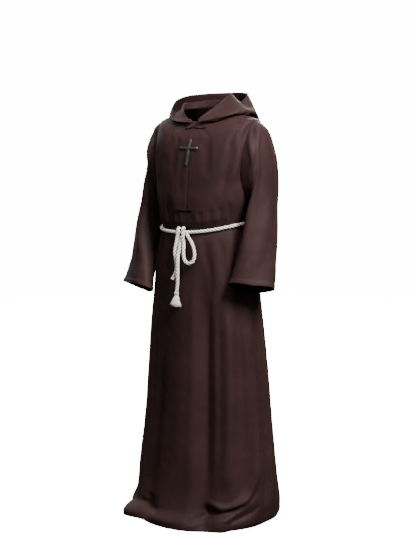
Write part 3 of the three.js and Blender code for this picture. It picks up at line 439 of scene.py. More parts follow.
def centripetal(points, t):
    """Centripetal Catmull-Rom through points[k, ...] at the shares t of the way."""
    last = len(points) - 1
    place = np.clip(np.asarray(t, float), 0, 1) * last
    i = np.minimum(place.astype(int), last - 1)
    w = (place - i).reshape(-1, *[1] * (points.ndim - 1))
    padded = np.concatenate([[2 * points[0] - points[1]], points, [2 * points[-1] - points[-2]]])
    p0, p1, p2, p3 = padded[i], padded[i + 1], padded[i + 2], padded[i + 3]

    def knot(a, b):
        return np.maximum(((b - a) ** 2).sum(-1, keepdims=True) ** 0.25, 1e-4)

    d0, d1, d2 = knot(p0, p1), knot(p1, p2), knot(p2, p3)
    m1 = ((p1 - p0) / d0 - (p2 - p0) / (d0 + d1) + (p2 - p1) / d1) * d1
    m2 = ((p2 - p1) / d1 - (p3 - p1) / (d1 + d2) + (p3 - p2) / d2) * d1
    a = 2 * p1 - 2 * p2 + m1 + m2
    b = -3 * p1 + 3 * p2 - 2 * m1 - m2
    return ((a * w + b) * w + m1) * w + p1


def run_of(line):
    """Length along a line up to each of its points."""
    return np.concatenate([[0], np.cumsum(np.linalg.norm(np.diff(line, axis=0), axis=1))])


def even(points, step):
    """The same line with points evenly spaced about step apart."""
    fine = centripetal(np.asarray(points, float), np.linspace(0, 1, 24 * len(points)))
    run = run_of(fine)
    at = np.linspace(0, run[-1], max(2, round(run[-1] / step)) + 1)
    return np.stack([np.interp(at, run, fine[:, k]) for k in range(3)], 1)


def ripple(points, scale, seed):
    """Slow unevenness between about -1 and 1, from a few crossed waves."""
    rng = np.random.default_rng(seed)
    total = np.zeros(points.shape[:-1])
    for _ in range(9):
        direction = unit(rng.normal(size=3)) / scale * rng.uniform(0.6, 1.5)
        total += np.sin(points @ direction * 2 * np.pi + rng.uniform(0, 6.28))
    return total / 4.5


def ripples(points, layers):
    return sum(depth * ripple(points, scale, seed) for depth, scale, seed in layers)


def nearest_on(path, x, y, scale, along_scale):
    """How far points are from a crease's line, on which side of it and how far along it."""
    best = np.full(x.shape, 1e9)
    side = np.zeros(x.shape)
    share = np.zeros(x.shape)
    count = len(path) - 1
    for k in range(count):
        ax, bx = path[k, 0] * scale, path[k + 1, 0] * scale
        ay, by = path[k, 1] * along_scale, path[k + 1, 1] * along_scale
        dx, dy = bx - ax, by - ay
        t = np.clip(((x - ax) * dx + (y - ay) * dy) / (dx * dx + dy * dy + 1e-9), 0, 1)
        away = np.hypot(x - ax - t * dx, y - ay - t * dy)
        nearer = away < best
        best = np.where(nearer, away, best)
        side = np.where(nearer, dx * (y - ay) - dy * (x - ax), side)
        share = np.where(nearer, (k + t) / count, share)
    return best, side, share


def crease_depth(creases, across, along, across_scale, along_scale):
    """Depth of the listed creases. across is in degrees or a share, along a level or a share;
    the scales turn both into millimetres of cloth."""
    depth = np.zeros(across.shape)
    for amount, wide_a, wide_b, sharp, line in creases:
        line = np.array(line, float)
        middle = line[:, 0].mean()
        line[:, 0] -= middle
        reach = max(wide_a, wide_b)
        turned = across - middle
        if across_scale is radius_at:
            turned = turn_between(across, middle)
            scale = radius_at(along) * math.pi / 180
        else:
            scale = across_scale
        x, y = turned * scale, along * along_scale
        inside = (np.abs(turned) < np.abs(line[:, 0]).max() + reach / np.min(scale) + 2) & (
            y > line[:, 1].min() * along_scale - reach) & (
            y < line[:, 1].max() * along_scale + reach)
        if not inside.any():
            continue
        px, py = x[inside], y[inside]
        local = scale[inside] if np.ndim(scale) else np.full(px.shape, scale)
        path = centripetal(line, np.linspace(0, 1, 5 * len(line)))
        best, side, share = nearest_on(path, px, py, local, along_scale)
        t = np.clip(best / np.where(side > 0, wide_a, wide_b), 0, 1)
        soft = (1 - t * t) ** 2
        pointed = (1 - t) ** 2 * (1 + 0.5 * t)
        ends = smooth(share / 0.22) * smooth((1 - share) / 0.22)
        depth[inside] += amount * ends * (soft * (1 - sharp) + pointed * sharp)
    return depth


# The body surface


def radius_at(level):
    row = section_at(level)
    return (row["left"] + row["right"] + row["fore"] + row["aft"]) / 4


def plain_body(angle, level):
    row = section_at(level)
    c, s = np.cos(angle), np.sin(angle)
    power = 2 / row["square"]
    x = np.where(c > 0, row["left"], row["right"]) * np.sign(c) * np.abs(c) ** power
    y = np.where(s < 0, row["fore"], row["aft"]) * np.sign(s) * np.abs(s) ** power
    end = np.where(s < 0, row["front"], row["back"])
    z = row["level"] + (end - row["level"]) * s * s + row["tilt"] * c / 2 - HOLD_HEIGHT
    return np.stack([x, y, z], -1)


def normal_of(surface, u, v, du, dv):
    along = surface(u + du, v) - surface(u - du, v)
    up = surface(u, v + dv) - surface(u, v - dv)
    return unit(np.cross(along, up))


def gather_depth(degrees, level):
    away = level - BELT_LEVEL
    full, clear = GATHERS["full"], GATHERS["clear"]
    reach = np.where(away > 0, GATHERS["above"], GATHERS["below"])
    grow = smooth((np.abs(away) - clear) / (full - clear))
    strength = grow * (1 - smooth((np.abs(away) - full) / (reach - full)))
    turn = np.radians(degrees)
    uneven = 0.6 + 0.4 * np.sin(3 * turn + 1)
    wave = 0.5 + 0.5 * np.sin(turn * GATHERS["count"] + 2 * np.sin(2 * turn))
    return -GATHERS["depth"] * strength * uneven * wave


def armhole_pull(degrees, level):
    """The seam of the armhole draws the cloth in a little on both its sides."""
    side = 90 - np.abs(np.abs(turn_between(degrees, 0)) - 90)
    place = np.hypot((level - ARMHOLE_MIDDLE) / ARMHOLE_HALF, side / ARMHOLE_DEGREES)
    away = (place - 1) * ARMHOLE_PULL["radius"] / ARMHOLE_PULL["width"]
    return -ARMHOLE_PULL["depth"] * np.exp(-(away**2)) * smooth(side / ARMHOLE_PULL["clear"])


def fold_depth(angle, level):
    degrees = np.degrees(angle)
    waist = smooth((np.abs(level - BELT_LEVEL) - GATHERS["clear"]) / 30)
    depth = gather_depth(degrees, level) + armhole_pull(degrees, level)
    for at, width, deep, low, high, lean in FOLDS:
        centre = at + lean * (level - max(low, 0)) / 1000
        place = bump(turn_between(degrees, centre), width)
        depth = depth + deep * waist * fade(level, low, high) * place
    return depth + waist * crease_depth(CREASES, degrees, level, radius_at, 1)


def body(angle, level):
    angle, level = np.broadcast_arrays(np.asarray(angle, float), np.asarray(level, float))
    outward = normal_of(plain_body, angle, level, 0.002, 1)
    outward[..., 2] *= smooth(level / HEM_TURN)
    plain = plain_body(angle, level)
    depth = fold_depth(angle, level) + ripples(plain, BODY_RIPPLES)
    calm = smooth((np.abs(level - BELT_LEVEL) - 6) / 20) * smooth((NECK_LEVEL - level) / 12)
    return plain + unit(outward) * (depth * calm)[..., None]


def body_normal(angle, level):
    held = np.clip(level, 2, NECK_LEVEL - 1)
    return normal_of(body, np.asarray(angle, float), held, 0.01, 1)


def panel_edge(level, front):
    row = section_at(level)
    deep = row["fore"] if front else row["aft"]
    seam = np.arcsin((SEAM_GAP / 2 / deep) ** (row["square"] / 2))
    s = np.clip((level - ARMHOLE_MIDDLE) / ARMHOLE_HALF, -1, 1)
    return np.maximum(seam, ARMHOLE_DEPTH * np.sqrt(1 - s * s))


# Meshes


def new_object(name, points, faces, uv=None):
    mesh = bpy.data.meshes.new(name)
    mesh.from_pydata((np.asarray(points) * M).tolist(), [], [list(f) for f in faces])
    if uv is not None:
        corners = np.empty(len(mesh.loops), int)
        mesh.loops.foreach_get("vertex_index", corners)
        layer = mesh.uv_layers.new(name="cloth")
        layer.data.foreach_set("uv", np.asarray(uv, float)[corners].ravel())
    mesh.polygons.foreach_set("use_smooth", [True] * len(mesh.polygons))
    mesh.update()
    obj = bpy.data.objects.new(name, mesh)
    bpy.context.scene.collection.objects.link(obj)
    return obj


def quads_of(index):
    corners = [index[:-1, :-1], index[:-1, 1:], index[1:, 1:], index[1:, :-1]]
    return np.stack(corners, -1).reshape(-1, 4)


def grid_quads(rows, columns, closed=False):
    index = np.arange(rows * columns).reshape(rows, columns)
    if closed:
        index = np.concatenate([index, index[:, :1]], 1)
    return quads_of(index)


def grid_normals(grid, closed=False):
    if closed:
        wide = np.concatenate([grid[:, -1:], grid, grid[:, :1]], 1)
        across = wide[:, 2:] - wide[:, :-2]
    else:
        across = np.gradient(grid, axis=1)
    return unit(np.cross(across, np.gradient(grid, axis=0)))


def shell(name, points, normals, quads, thick, uv):
    """A closed thin wall with rounded edges. thick is a number or one for each point."""
    a, b, c = (points[quads[:, k]] for k in (0, 1, 2))
    if (np.cross(b - a, c - a) * normals[quads[:, 0]]).sum() < 0:
        quads = quads[:, ::-1]
    thick = np.broadcast_to(np.asarray(thick, float), (len(points),))
    inner = points - normals * thick[:, None]
    edges = np.concatenate([quads[:, [k, (k + 1) % 4]] for k in range(4)])
    edges = edges[edges[:, 0] != edges[:, 1]]
    _, first, uses = np.unique(np.sort(edges, axis=1), axis=0, return_index=True, return_counts=True)
    rim = edges[first[uses == 1]]
    away = np.zeros(points.shape)
    sideways = unit(np.cross(points[rim[:, 1]] - points[rim[:, 0]], normals[rim[:, 0]]))
    np.add.at(away, rim[:, 0], sideways)
    np.add.at(away, rim[:, 1], sideways)
    on_rim = np.unique(rim)
    middle = (points + inner)[on_rim] / 2 + unit(away[on_rim]) * thick[on_rim, None] * 0.45
    count = len(points)
    place = np.zeros(count, int)
    place[on_rim] = 2 * count + np.arange(len(on_rim))
    r0, r1 = rim[:, 0], rim[:, 1]
    strips = [
        np.stack([r1, r0, place[r0], place[r1]], 1),
        np.stack([place[r1], place[r0], r0 + count, r1 + count], 1),
    ]
    faces = np.concatenate([quads, quads[:, ::-1] + count, *strips])
    faces = faces[(faces[:, 0] != faces[:, 1]) & (faces[:, 2] != faces[:, 3])]
    used = np.unique(faces)
    renumber = np.zeros(2 * count + len(on_rim), int)
    renumber[used] = np.arange(len(used))
    every = np.concatenate([points, inner, middle])[used]
    every_uv = np.concatenate([uv, uv, uv[on_rim]])[used]
    return new_object(name, every, renumber[faces].tolist(), every_uv)


def row_levels(count):
    """Levels of a panel's rows, evenly spaced over the cloth."""
    fine = np.linspace(0, NECK_LEVEL, 1500)
    run = np.zeros(len(fine))
    for degrees in (-20, -60, -90):
        line = plain_body(np.full(len(fine), math.radians(degrees)), fine)
        steps = np.linalg.norm(np.diff(line, axis=0), axis=1)
        run[1:] += np.cumsum(steps)
    return np.interp(np.linspace(0, run[-1], count), run, fine)


def banded(share):
    """Thickness of the cloth, from 0 where it is single to 1 in a turned-up band."""
    return CLOTH + (HEM_CLOTH - CLOTH) * share


def hem_thickness(level):
    return banded(1 - smooth((level - HEM_BAND + 1) / 3))


def panel_uv(angle, level):
    return np.stack([angle * 0.24, level * M], -1)


def back_panel():
    rows, columns = BACK_GRID
    levels = row_levels(rows)
    edge = panel_edge(levels, False)[:, None]
    angle = edge + (math.pi - 2 * edge) * np.linspace(0, 1, columns)[None, :]
    level = np.broadcast_to(levels[:, None], angle.shape)
    grid = body(angle, level)
    points, normals = grid.reshape(-1, 3), grid_normals(grid).reshape(-1, 3)
    thick = hem_thickness(level).ravel()
    uv = panel_uv(angle, level).reshape(-1, 2)
    return shell("back_cloth", points, normals, grid_quads(rows, columns), thick, uv)


def front_panel():
    rows, half = FRONT_GRID
    levels = row_levels(rows)
    levels[np.abs(levels - SLIT_FOOT_LEVEL).argmin()] = SLIT_FOOT_LEVEL
    edge = panel_edge(levels, True)[:, None]
    slit = SLIT_WIDTH / 2 / section_at(levels)["left"] * (levels > SLIT_FOOT_LEVEL)
    slit = slit[:, None]
    share = np.linspace(0, 1, half)[None, :]
    right = -math.pi + edge + (math.pi / 2 - slit - edge) * share
    left = -math.pi / 2 + slit + (math.pi / 2 - slit - edge) * share
    angle = np.concatenate([right, left], 1)
    level = np.broadcast_to(levels[:, None], angle.shape)
    grid = body(angle, level)
    normals = np.concatenate([grid_normals(grid[:, :half]), grid_normals(grid[:, half:])], 1)
    columns = 2 * half
    index = np.arange(rows * columns).reshape(rows, columns)
    below = levels <= SLIT_FOOT_LEVEL
    index[below, half] = index[below, half - 1]
    quads = np.concatenate([quads_of(index[:, :half]), quads_of(index[:, half:])])
    thick = hem_thickness(level).ravel()
    uv = panel_uv(angle, level).reshape(-1, 2)
    return shell("front_cloth", grid.reshape(-1, 3), normals.reshape(-1, 3), quads, thick, uv)


# Sleeves


def mirrored(points, side):
    return points * np.array([side, 1, 1])


def armhole_ring(turn, side):
    level = ARMHOLE_MIDDLE + (ARMHOLE_HALF - SEAM_GAP * 1.2) * np.cos(turn)
    away = (ARMHOLE_DEPTH - ARMHOLE_INSET) * np.abs(np.sin(turn))
    angle = away if side > 0 else math.pi - away
    angle = np.where(turn < math.pi, -angle, angle)
    return mirrored(body(angle, level), side), mirrored(body_normal(angle, level), side)


def sleeve_depth(turn, along, side):
    degrees = np.degrees(turn)
    depth = np.zeros(np.broadcast(turn, along).shape)
    for around, width, deep, low, high, lean in SLEEVE_FOLDS:
        centre = around + lean * (along - low)
        depth = depth + deep * fade(along, low, high) * bump(turn_between(degrees, centre), width)
    per_degree = SLEEVE_ROUND * math.pi / 180
    laid = crease_depth(SLEEVE_CREASES[side], degrees, along, per_degree, SLEEVE_LONG)
    return (depth + laid) * smooth(along * 14)


def sleeve(side):
    rows, columns = SLEEVE_GRID
    turn = np.linspace(0, 2 * math.pi, columns, endpoint=False)
    top, top_normal = armhole_ring(turn, side)
    row = dict(zip(SLEEVE_NAMES, SLEEVE.T[:, :, None], strict=True))
    swing = np.radians(row["turn"])
    c, s = np.cos(turn)[None, :], np.sin(turn)[None, :]
    x = row["x"] + row["out"] * np.cos(swing) * c + row["across"] * np.sin(swing) * s
    y = row["y"] + row["out"] * np.sin(swing) * c - row["across"] * np.cos(swing) * s
    z = row["height"] + row["rise"] * c - HOLD_HEIGHT
    rings = np.stack([x, y, z + 0 * x], -1)
    along = np.linspace(0, 1, rows)
    grid = centripetal(np.concatenate([top[None], rings]), along)
    normals = -grid_normals(grid, closed=True)
    normals[0] = top_normal
    share = along[:, None] * np.ones(columns)
    depth = sleeve_depth(np.broadcast_to(turn, share.shape), share, side)
    depth = depth + smooth(share * 14) * ripples(grid, SLEEVE_RIPPLES)
    grid = grid + normals * depth[..., None]
    shift_top, shift_out, drop, fore, inward, wide, tip = SLEEVE_SHIFT[side]
    upper = smooth(5 * along) * (1 - smooth((along - 0.25) / 0.4))
    lower = smooth(1.5 * along - 0.5)
    forwards = np.sin(turn)[None, :]
    front = np.maximum(0, forwards)
    elbow = bump(along - ELBOW["at"], ELBOW["reach"])[:, None] * front
    widened = wide * lower[:, None] * forwards
    cuff_turn = math.radians(SLEEVE[-1, -1])
    grid[..., 0] += (shift_top * upper + shift_out * lower)[:, None] - inward * elbow
    grid[..., 0] += widened * math.sin(cuff_turn)
    grid[..., 1] -= fore * elbow + widened * math.cos(cuff_turn)
    grid[..., 2] += (tip * front - drop) * lower[:, None]
    normals = -grid_normals(grid, closed=True)
    normals[0] = top_normal
    grid, normals = mirrored(grid, side), mirrored(normals, side)
    band = smooth((along - 1 + CUFF_BAND / SLEEVE_LONG) * SLEEVE_LONG / 3)
    thick = np.repeat(banded(band), columns)
    # The weave's second coordinate follows how far the cuff is widened, not the sleeve's length
    uv = np.stack([np.broadcast_to(turn, share.shape) * 0.075, 1.4 - widened * 0.64], -1)
    name = "sleeve_left_cloth" if side > 0 else "sleeve_right_cloth"
    quads = grid_quads(rows, columns, closed=True)
    return shell(name, grid.reshape(-1, 3), normals.reshape(-1, 3), quads, thick, uv.reshape(-1, 2))


# Hood


def hood_rows(table, share):
    """The hood's table at places from 0 at its front to 1 at the centre back."""
    last = len(table) - 1
    place = share * last
    i = np.minimum(place.astype(int), last - 1)
    a, b, c, d = (table[np.clip(i + k, 0, last)] for k in (-1, 0, 1, 2))
    t = (place - i)[:, None]
    bend = t * (2 * a - 5 * b + 4 * c - d + t * (3 * (b - c) + d - a))
    return dict(zip(HOOD_NAMES, (b + 0.5 * t * (c - a + bend)).T, strict=True))


def hood_half(side):
    rows, columns = HOOD_GRID
    share = np.linspace(0, 1, columns)
    row = hood_rows(HOOD[side], share)
    angle = np.radians(row["neck"])
    seam = body(angle, np.full(columns, float(NECK_LEVEL)))
    seam[:, 2] += HOOD_SEAM_GAP
    stand = seam + HOOD_STAND["out"] * np.stack([np.cos(angle), np.sin(angle), 0 * angle], -1)
    stand[:, 2] += HOOD_STAND["height"] * smooth(share / 0.5)
    lying = []
    for rest in HOOD_RESTS:
        level = NECK_LEVEL + rest * (row["lie"] - NECK_LEVEL)
        lying.append(body(angle, level) + body_normal(angle, level) * HOOD_LIFT)
    outer = np.stack([row["outX"], row["outY"], row["outH"] - HOLD_HEIGHT], -1)
    rim = np.stack([row["rimX"], row["rimY"], row["rimH"] - HOLD_HEIGHT], -1)
    foot = lying[-1] + HOOD_FOOT * (outer - lying[-1])
    foot[:, 2] -= row["foot"]
    along = np.linspace(0, 1, rows)
    grid = centripetal(np.stack([seam, stand, *lying, foot, outer, rim]), along)
    normals = grid_normals(grid) * side
    u = np.broadcast_to(share, grid.shape[:2])
    v = np.broadcast_to(along[:, None], grid.shape[:2])
    depth = crease_depth(HOOD_CREASES[side], u, v, HOOD_ROUND, HOOD_DEEP)
    depth = depth + ripples(grid, HOOD_RIPPLES)
    ease = smooth((v - 0.45) / 0.15) * smooth((1 - u) * 12)
    grid = grid - normals * (depth * ease)[..., None]
    grid[:, -1, 0] = side * SEAM_GAP / 2
    normals = grid_normals(grid) * side
    normals[:, -1, 0] = 0
    normals = unit(normals)
    band = smooth((v - 1 + RIM_BAND / HOOD_DEEP) * HOOD_DEEP / 3).ravel()
    thick = banded(band)
    uv = np.stack([u * HOOD_ROUND * M, v * HOOD_DEEP * M], -1).reshape(-1, 2)
    name = "hood_left_cloth" if side > 0 else "hood_right_cloth"
    points = grid.reshape(-1, 3)
    return shell(name, points, -normals.reshape(-1, 3), grid_quads(rows, columns), thick, uv)


# Rope


def frames(line):
    """Unit tangents and two side directions that turn as little as they can."""
    tangent = unit(np.gradient(line, axis=0))
    start = np.cross(tangent[0], (0.0, 0.0, 1.0))
    if np.linalg.norm(start) < 0.2:
        start = np.cross(tangent[0], (0.0, 1.0, 0.0))
    sides = [start / np.linalg.norm(start)]
    for t in tangent[1:]:
        side = sides[-1] - t * (sides[-1] @ t)
        sides.append(side / np.linalg.norm(side))
    sides = np.array(sides)
    return tangent, sides, np.cross(tangent, sides)


def lobed(turn, lobes, offset, radius):
    """Radius of a bundle of round strands at an angle round it."""
    local = (turn + math.pi / lobes) % (2 * math.pi / lobes) - math.pi / lobes
    return offset * np.cos(local) + np.sqrt(radius**2 - (offset * np.sin(local)) ** 2)


def add_groove_shade_and_tone(obj, values):
    """How light each point is: on a rope, painted shade from 0 in its grooves to 1 on its strands;
    on a tuft, a random tone for each strand.
    """
    shade = obj.data.attributes.new("ridge", "FLOAT", "POINT")
    shade.data.foreach_set("value", values)


def rope(name, line, size, sides, pitch, phase=0.0, end=1.0):
    """Three-strand twisted rope of that diameter along a line, closed at its ends."""
    run = run_of(line)
    _, side, up = frames(line)
    turn = np.linspace(0, 2 * math.pi, sides, endpoint=False)[None, :]
    twist = (run / pitch * 2 * math.pi + phase)[:, None]
    wide = lobed(turn - twist, 3, STRAND_OUT * size, (0.5 - STRAND_OUT) * size)
    ease = np.ones(len(line))
    for away in (run, run[-1] - run):
        ease *= end + (1 - end) * np.sqrt(np.clip(away / (0.4 * size), 0.02, 1))
    wide = wide * ease[:, None]
    points = line[:, None] + wide[..., None] * (
        np.cos(turn)[..., None] * side[:, None] + np.sin(turn)[..., None] * up[:, None])
    count = len(line)
    quads = grid_quads(count, sides, closed=True)[:, ::-1].tolist()
    quads.append(list(range(sides)))
    quads.append(list(range((count - 1) * sides, count * sides))[::-1])
    obj = new_object(name, points.reshape(-1, 3), quads)
    # Painted shade: the grooves between the strands are given a dark colour
    profile = lobed(turn - twist, 3, STRAND_OUT, 0.5 - STRAND_OUT)
    ridge = smooth((profile - GROOVE_LOW) / (GROOVE_HIGH - GROOVE_LOW))
    add_groove_shade_and_tone(obj, ridge.ravel())
    return obj


def laid(rows):
    line = np.array(rows, float)
    line[:, 2] -= HOLD_HEIGHT
    return line


def belt_line():
    row = section_at(np.array([float(BELT_LEVEL)]))
    share = (abs(KNOT_X) / row["right"][0]) ** (row["square"][0] / 2)
    knot = -math.pi + math.acos(share)
    angle = np.linspace(knot + 0.002, knot + 2 * math.pi - 0.002, 160)
    level = np.full(160, float(BELT_LEVEL))
    out = normal_of(plain_body, angle, level, 0.05, 1)
    out[:, 2] = 0
    return even(plain_body(angle, level) + unit(out) * (ROPE / 2 + 0.6), 2.4)


def end_axes(route):
    """The end of a hanging rope, the way it points, and two directions across it."""
    line = laid(route)
    down = unit(line[-1] - line[-2])
    side = unit(np.cross(down, (0.0, 1.0, 0.0)))
    return line[-1], down, side, np.cross(down, side)


def strands(name, route, size, seed):
    """Combed-out cotton below a bound end."""
    end, down, side, front = end_axes(route)
    rng = np.random.default_rng(seed)
    points, faces = [], []
    steps = TUFT_STEPS
    for _ in range(size["strands"]):
        turn = rng.uniform(0, 2 * math.pi)
        share = math.sqrt(rng.uniform(0.0, 1.0))
        root = 0.72 * size["head"] * share
        tip = size["spread"] * share * rng.uniform(0.75, 1.1)
        long = size["length"] * (1 - 0.1 * share) * rng.uniform(0.82, 1.0) - 0.5
        curl, phase = rng.uniform(0.3, 1.3), rng.uniform(0, 6.28)
        t = np.linspace(0, 1, steps)
        reach = root + (tip - root) * t**1.5
        across = reach * math.cos(turn) + curl * np.sin(9 * t + phase) * t
        out = root * math.sin(turn) + TUFT_FLATNESS * (reach - root) * math.sin(turn)
        out = out + curl * np.cos(8 * t + phase) * t
        depth = 0.55 * size["head_length"] + (long - 0.55 * size["head_length"]) * t
        middle = end + across[:, None] * side + out[:, None] * front + depth[:, None] * down
        first = len(points) * 4
        for k in range(steps):
            thick = size["thick"] * (1 - 0.6 * t[k]) / 2
            ring = [(thick, 0), (0, thick), (-thick, 0), (0, -thick)]
            points.append([middle[k] + a * side + b * front for a, b in ring])
        for k in range(steps - 1):
            for j in range(4):
                a, b = first + 4 * k + j, first + 4 * k + (j + 1) % 4
                faces.append((a, a + 4, b + 4, b))
        faces.append(tuple(range(first, first + 4)))
        faces.append(tuple(range(first + 4 * steps - 1, first + 4 * steps - 5, -1)))
    obj = new_object(name, np.array(points).reshape(-1, 3), faces)
    add_groove_shade_and_tone(obj, np.repeat(rng.uniform(0.6, 1, size["strands"]), 4 * steps))
    return obj


def binding(name, route, radius, turns, long, thread):
    """Thread wound round a rope's end."""
    end, down, side, front = end_axes(route)
    t = np.linspace(0, 1, turns * 20)
    swell = radius * (1 + 0.12 * np.sin(math.pi * t))
    turn = 2 * math.pi * turns * t
    at = end + np.cos(turn)[:, None] * swell[:, None] * side
    at = at + np.sin(turn)[:, None] * swell[:, None] * front + (1.5 + long * t)[:, None] * down
    return rope(name, at, thread, 8, NO_TWIST, end=ROUNDED_END)


# Trim on the front panel


def front_angle(x, level):
    row = section_at(level)
    share = (np.abs(x) / np.where(x > 0, row["left"], row["right"])) ** (row["square"] / 2)
    return np.where(x > 0, -np.arccos(share), -math.pi + np.arccos(share))


def front_level(height):
    levels = np.linspace(0, NECK_LEVEL, 6000)
    return np.interp(height, column_at(BODY, 1, levels), levels)


def on_front(route, steps):
    """Points and normals of the front panel along a line of (x, height)."""
    flat = np.array([(x, 0.0, h) for x, h in route], float)
    fine = centripetal(flat, np.linspace(0, 1, steps))
    level = front_level(fine[:, 2])
    angle = front_angle(fine[:, 0], level)
    return body(angle, level), body_normal(angle, level)


def ribbon(name, route, profile, steps, lift):
    """A raised bar along a line on the front panel. profile is a list of (across, out)."""
    points, normals = on_front(route, steps)
    tangent = unit(np.gradient(points, axis=0))
    across = unit(np.cross(normals, tangent))
    run = run_of(points)
    end = np.sqrt(np.clip(np.minimum(run, run[-1] - run) / TRIM_TAPER, 0.02, 1))
    rings = []
    for a, out in profile:
        height = lift + out * end
        rings.append(points + across * (a * (0.7 + 0.3 * end))[:, None] + normals * height[:, None])
    grid = np.stack(rings, 1)
    count, sides = grid.shape[:2]
    faces = grid_quads(count, sides, closed=True).tolist()
    faces.append(list(range(sides))[::-1])
    faces.append(list(range((count - 1) * sides, count * sides)))
    return outward(new_object(name, grid.reshape(-1, 3), faces))


def outward(obj):
    """Turns a closed mesh's faces outwards."""
    work = bmesh.new()
    work.from_mesh(obj.data)
    bmesh.ops.recalc_face_normals(work, faces=work.faces)
    work.to_mesh(obj.data)
    work.free()
    return obj


def join(name, objects):
    """One mesh of several."""
    points, faces, first = [], [], 0
    for obj in objects:
        points += [tuple(v.co / M) for v in obj.data.vertices]
        faces += [[first + i for i in p.vertices] for p in obj.data.polygons]
        first += len(obj.data.vertices)
        bpy.data.objects.remove(obj)
    return new_object(name, points, faces)


def padded_profile(width, height, steps):
    """Section of a padded bar: a flat underside and a soft ridge."""
    turn = np.linspace(0, math.pi, steps)
    rounded = [(width / 2 * math.cos(t), height * math.sin(t) ** 0.8) for t in turn]
    return rounded + [(0.0, -0.2)]


def cross():
    x, height, lean = CROSS["x"], CROSS["height"], CROSS["lean"]
    profile = padded_profile(CROSS["width"], CROSS["ridge"], 15)
    upright = [(x + lean * rise, height + rise) for rise in (-CROSS["down"], -20, CROSS["up"])]
    arms = [(x - CROSS["arm"], height), (x, height), (x + CROSS["arm"], height)]
    pieces = [ribbon("upright", upright, profile, 70, 0.2), ribbon("arms", arms, profile, 60, 0.2)]
    return join("cross_trim", pieces)


def frog(name, route):
    points, normals = on_front(route, 60)
    line = points + normals * (FROG_CORD / 2 + 0.2)
    return rope(name, even(line, 0.8), FROG_CORD, 18, FROG_PITCH, end=ROUNDED_END)


def frog_knot():
    """A small ball knot of the same cord."""
    level = front_level(np.array([float(FROG_KNOT["height"])]))
    angle = front_angle(np.array([float(FROG_KNOT["x"])]), level)
    radius = FROG_KNOT["size"] / 2
    place = (body(angle, level) + body_normal(angle, level) * radius)[0]
    t = np.linspace(0, 2 * math.pi, 140)
    wind = 0.62 * radius
    around = np.stack([
        wind * (np.sin(t) + 0.8 * np.sin(2 * t)) / 1.3,
        wind * np.sin(3 * t) * 0.7,
        wind * (np.cos(t) - 0.8 * np.cos(2 * t)) / 1.3,
    ], 1)
    line = (place + around)[:-1]
    return rope("frog_knot_cord", line, FROG_KNOT["cord"], 12, FROG_KNOT["pitch"], end=ROUNDED_END)


def bar():
    profile = padded_profile(BAR["width"], BAR["thick"], 13)
    route = [(BAR["right"], BAR["height"]), (-10, BAR["height"] - 0.6), (BAR["left"], BAR["height"])]
    return ribbon("bar_lower_cord", route, profile, 80, 0.4)


def stitches(name, line, normals):
    """A row of sewn stitches on a line of surface points."""
    run = run_of(line)
    long, thick = STITCH["long"], STITCH["thick"]
    starts = np.arange(0.5, run[-1] - long, STITCH["pitch"])

    def at(place, values):
        return np.stack([np.interp(place, run, values[:, k]) for k in range(3)], 1)

    a, b = at(starts, line), at(starts + long, line)
    n = unit(at(starts + long / 2, normals))
    along = unit(b - a)
    side = np.cross(n, along)
    middle = (a + b) / 2
    points = np.stack([
        a, b, middle + side * thick / 2, middle + n * thick * 0.7, middle - side * thick / 2,
        middle - n * thick * 0.3,
    ], 1)
    pattern = ((0, 2, 3), (0, 3, 4), (0, 4, 5), (0, 5, 2), (1, 3, 2), (1, 4, 3), (1, 5, 4), (1, 2, 5))
    faces = [[6 * k + i for i in face] for k in range(len(starts)) for face in pattern]
    return new_object(name, points.reshape(-1, 3), faces)


def hem_stitching():
    angle = np.linspace(-math.pi, math.pi, 1400)
    level = np.full(len(angle), float(HEM_BAND))
    return stitches("hem_stitching", body(angle, level), body_normal(angle, level))


def slit_stitching():
    pieces = []
    for side in (-1, 1):
        level = np.linspace(SLIT_FOOT_LEVEL - SLIT_ROWS["below"], SLIT_ROWS["top"], 260)
        angle = -math.pi / 2 + side * SLIT_ROWS["out"] / radius_at(level)
        pieces.append(stitches("row", body(angle, level), body_normal(angle, level)))
    return join("slit_stitching", pieces)


# Materials


def material(name):
    """A new material, its nodes and links, its shader and the texture coordinates."""
    made = bpy.data.materials.new(name)
    made.use_nodes = True
    nodes, links = made.node_tree.nodes, made.node_tree.links
    place = nodes.new("ShaderNodeTexCoord")
    return made, nodes, links, nodes["Principled BSDF"], place.outputs


def set_inputs(node, values):
    for name, value in values.items():
        node.inputs[name].default_value = value


def noise(nodes, links, scale, detail, vector):
    texture = nodes.new("ShaderNodeTexNoise")
    set_inputs(texture, {"Scale": scale, "Detail": detail})
    links.new(vector, texture.inputs["Vector"])
    return texture.outputs["Fac"]


def shades(nodes, links, factor, dark, light, low=0.35, high=0.65):
    ramp = nodes.new("ShaderNodeValToRGB")
    for element, position, color in zip(ramp.color_ramp.elements, (low, high), (dark, light), strict=True):
        element.position = position
        element.color = (*color, 1)
    links.new(factor, ramp.inputs["Fac"])
    return ramp.outputs["Color"]


def wave(nodes, links, vector, scale, direction):
    texture = nodes.new("ShaderNodeTexWave")
    texture.wave_type = "BANDS"
    texture.bands_direction = direction
    set_inputs(texture, {"Scale": scale, "Distortion": 0.4, "Detail": 1})
    links.new(vector, texture.inputs["Vector"])
    return texture.outputs["Fac"]


def bumped(nodes, links, shader, heights):
    """Chains bumps of (height output, strength, distance in metres)."""
    last = None
    for height, strength, distance in heights:
        node = nodes.new("ShaderNodeBump")
        set_inputs(node, {"Strength": strength, "Distance": distance})
        links.new(height, node.inputs["Height"])
        if last is not None:
            links.new(last.outputs["Normal"], node.inputs["Normal"])
        last = node
    links.new(last.outputs["Normal"], shader.inputs["Normal"])


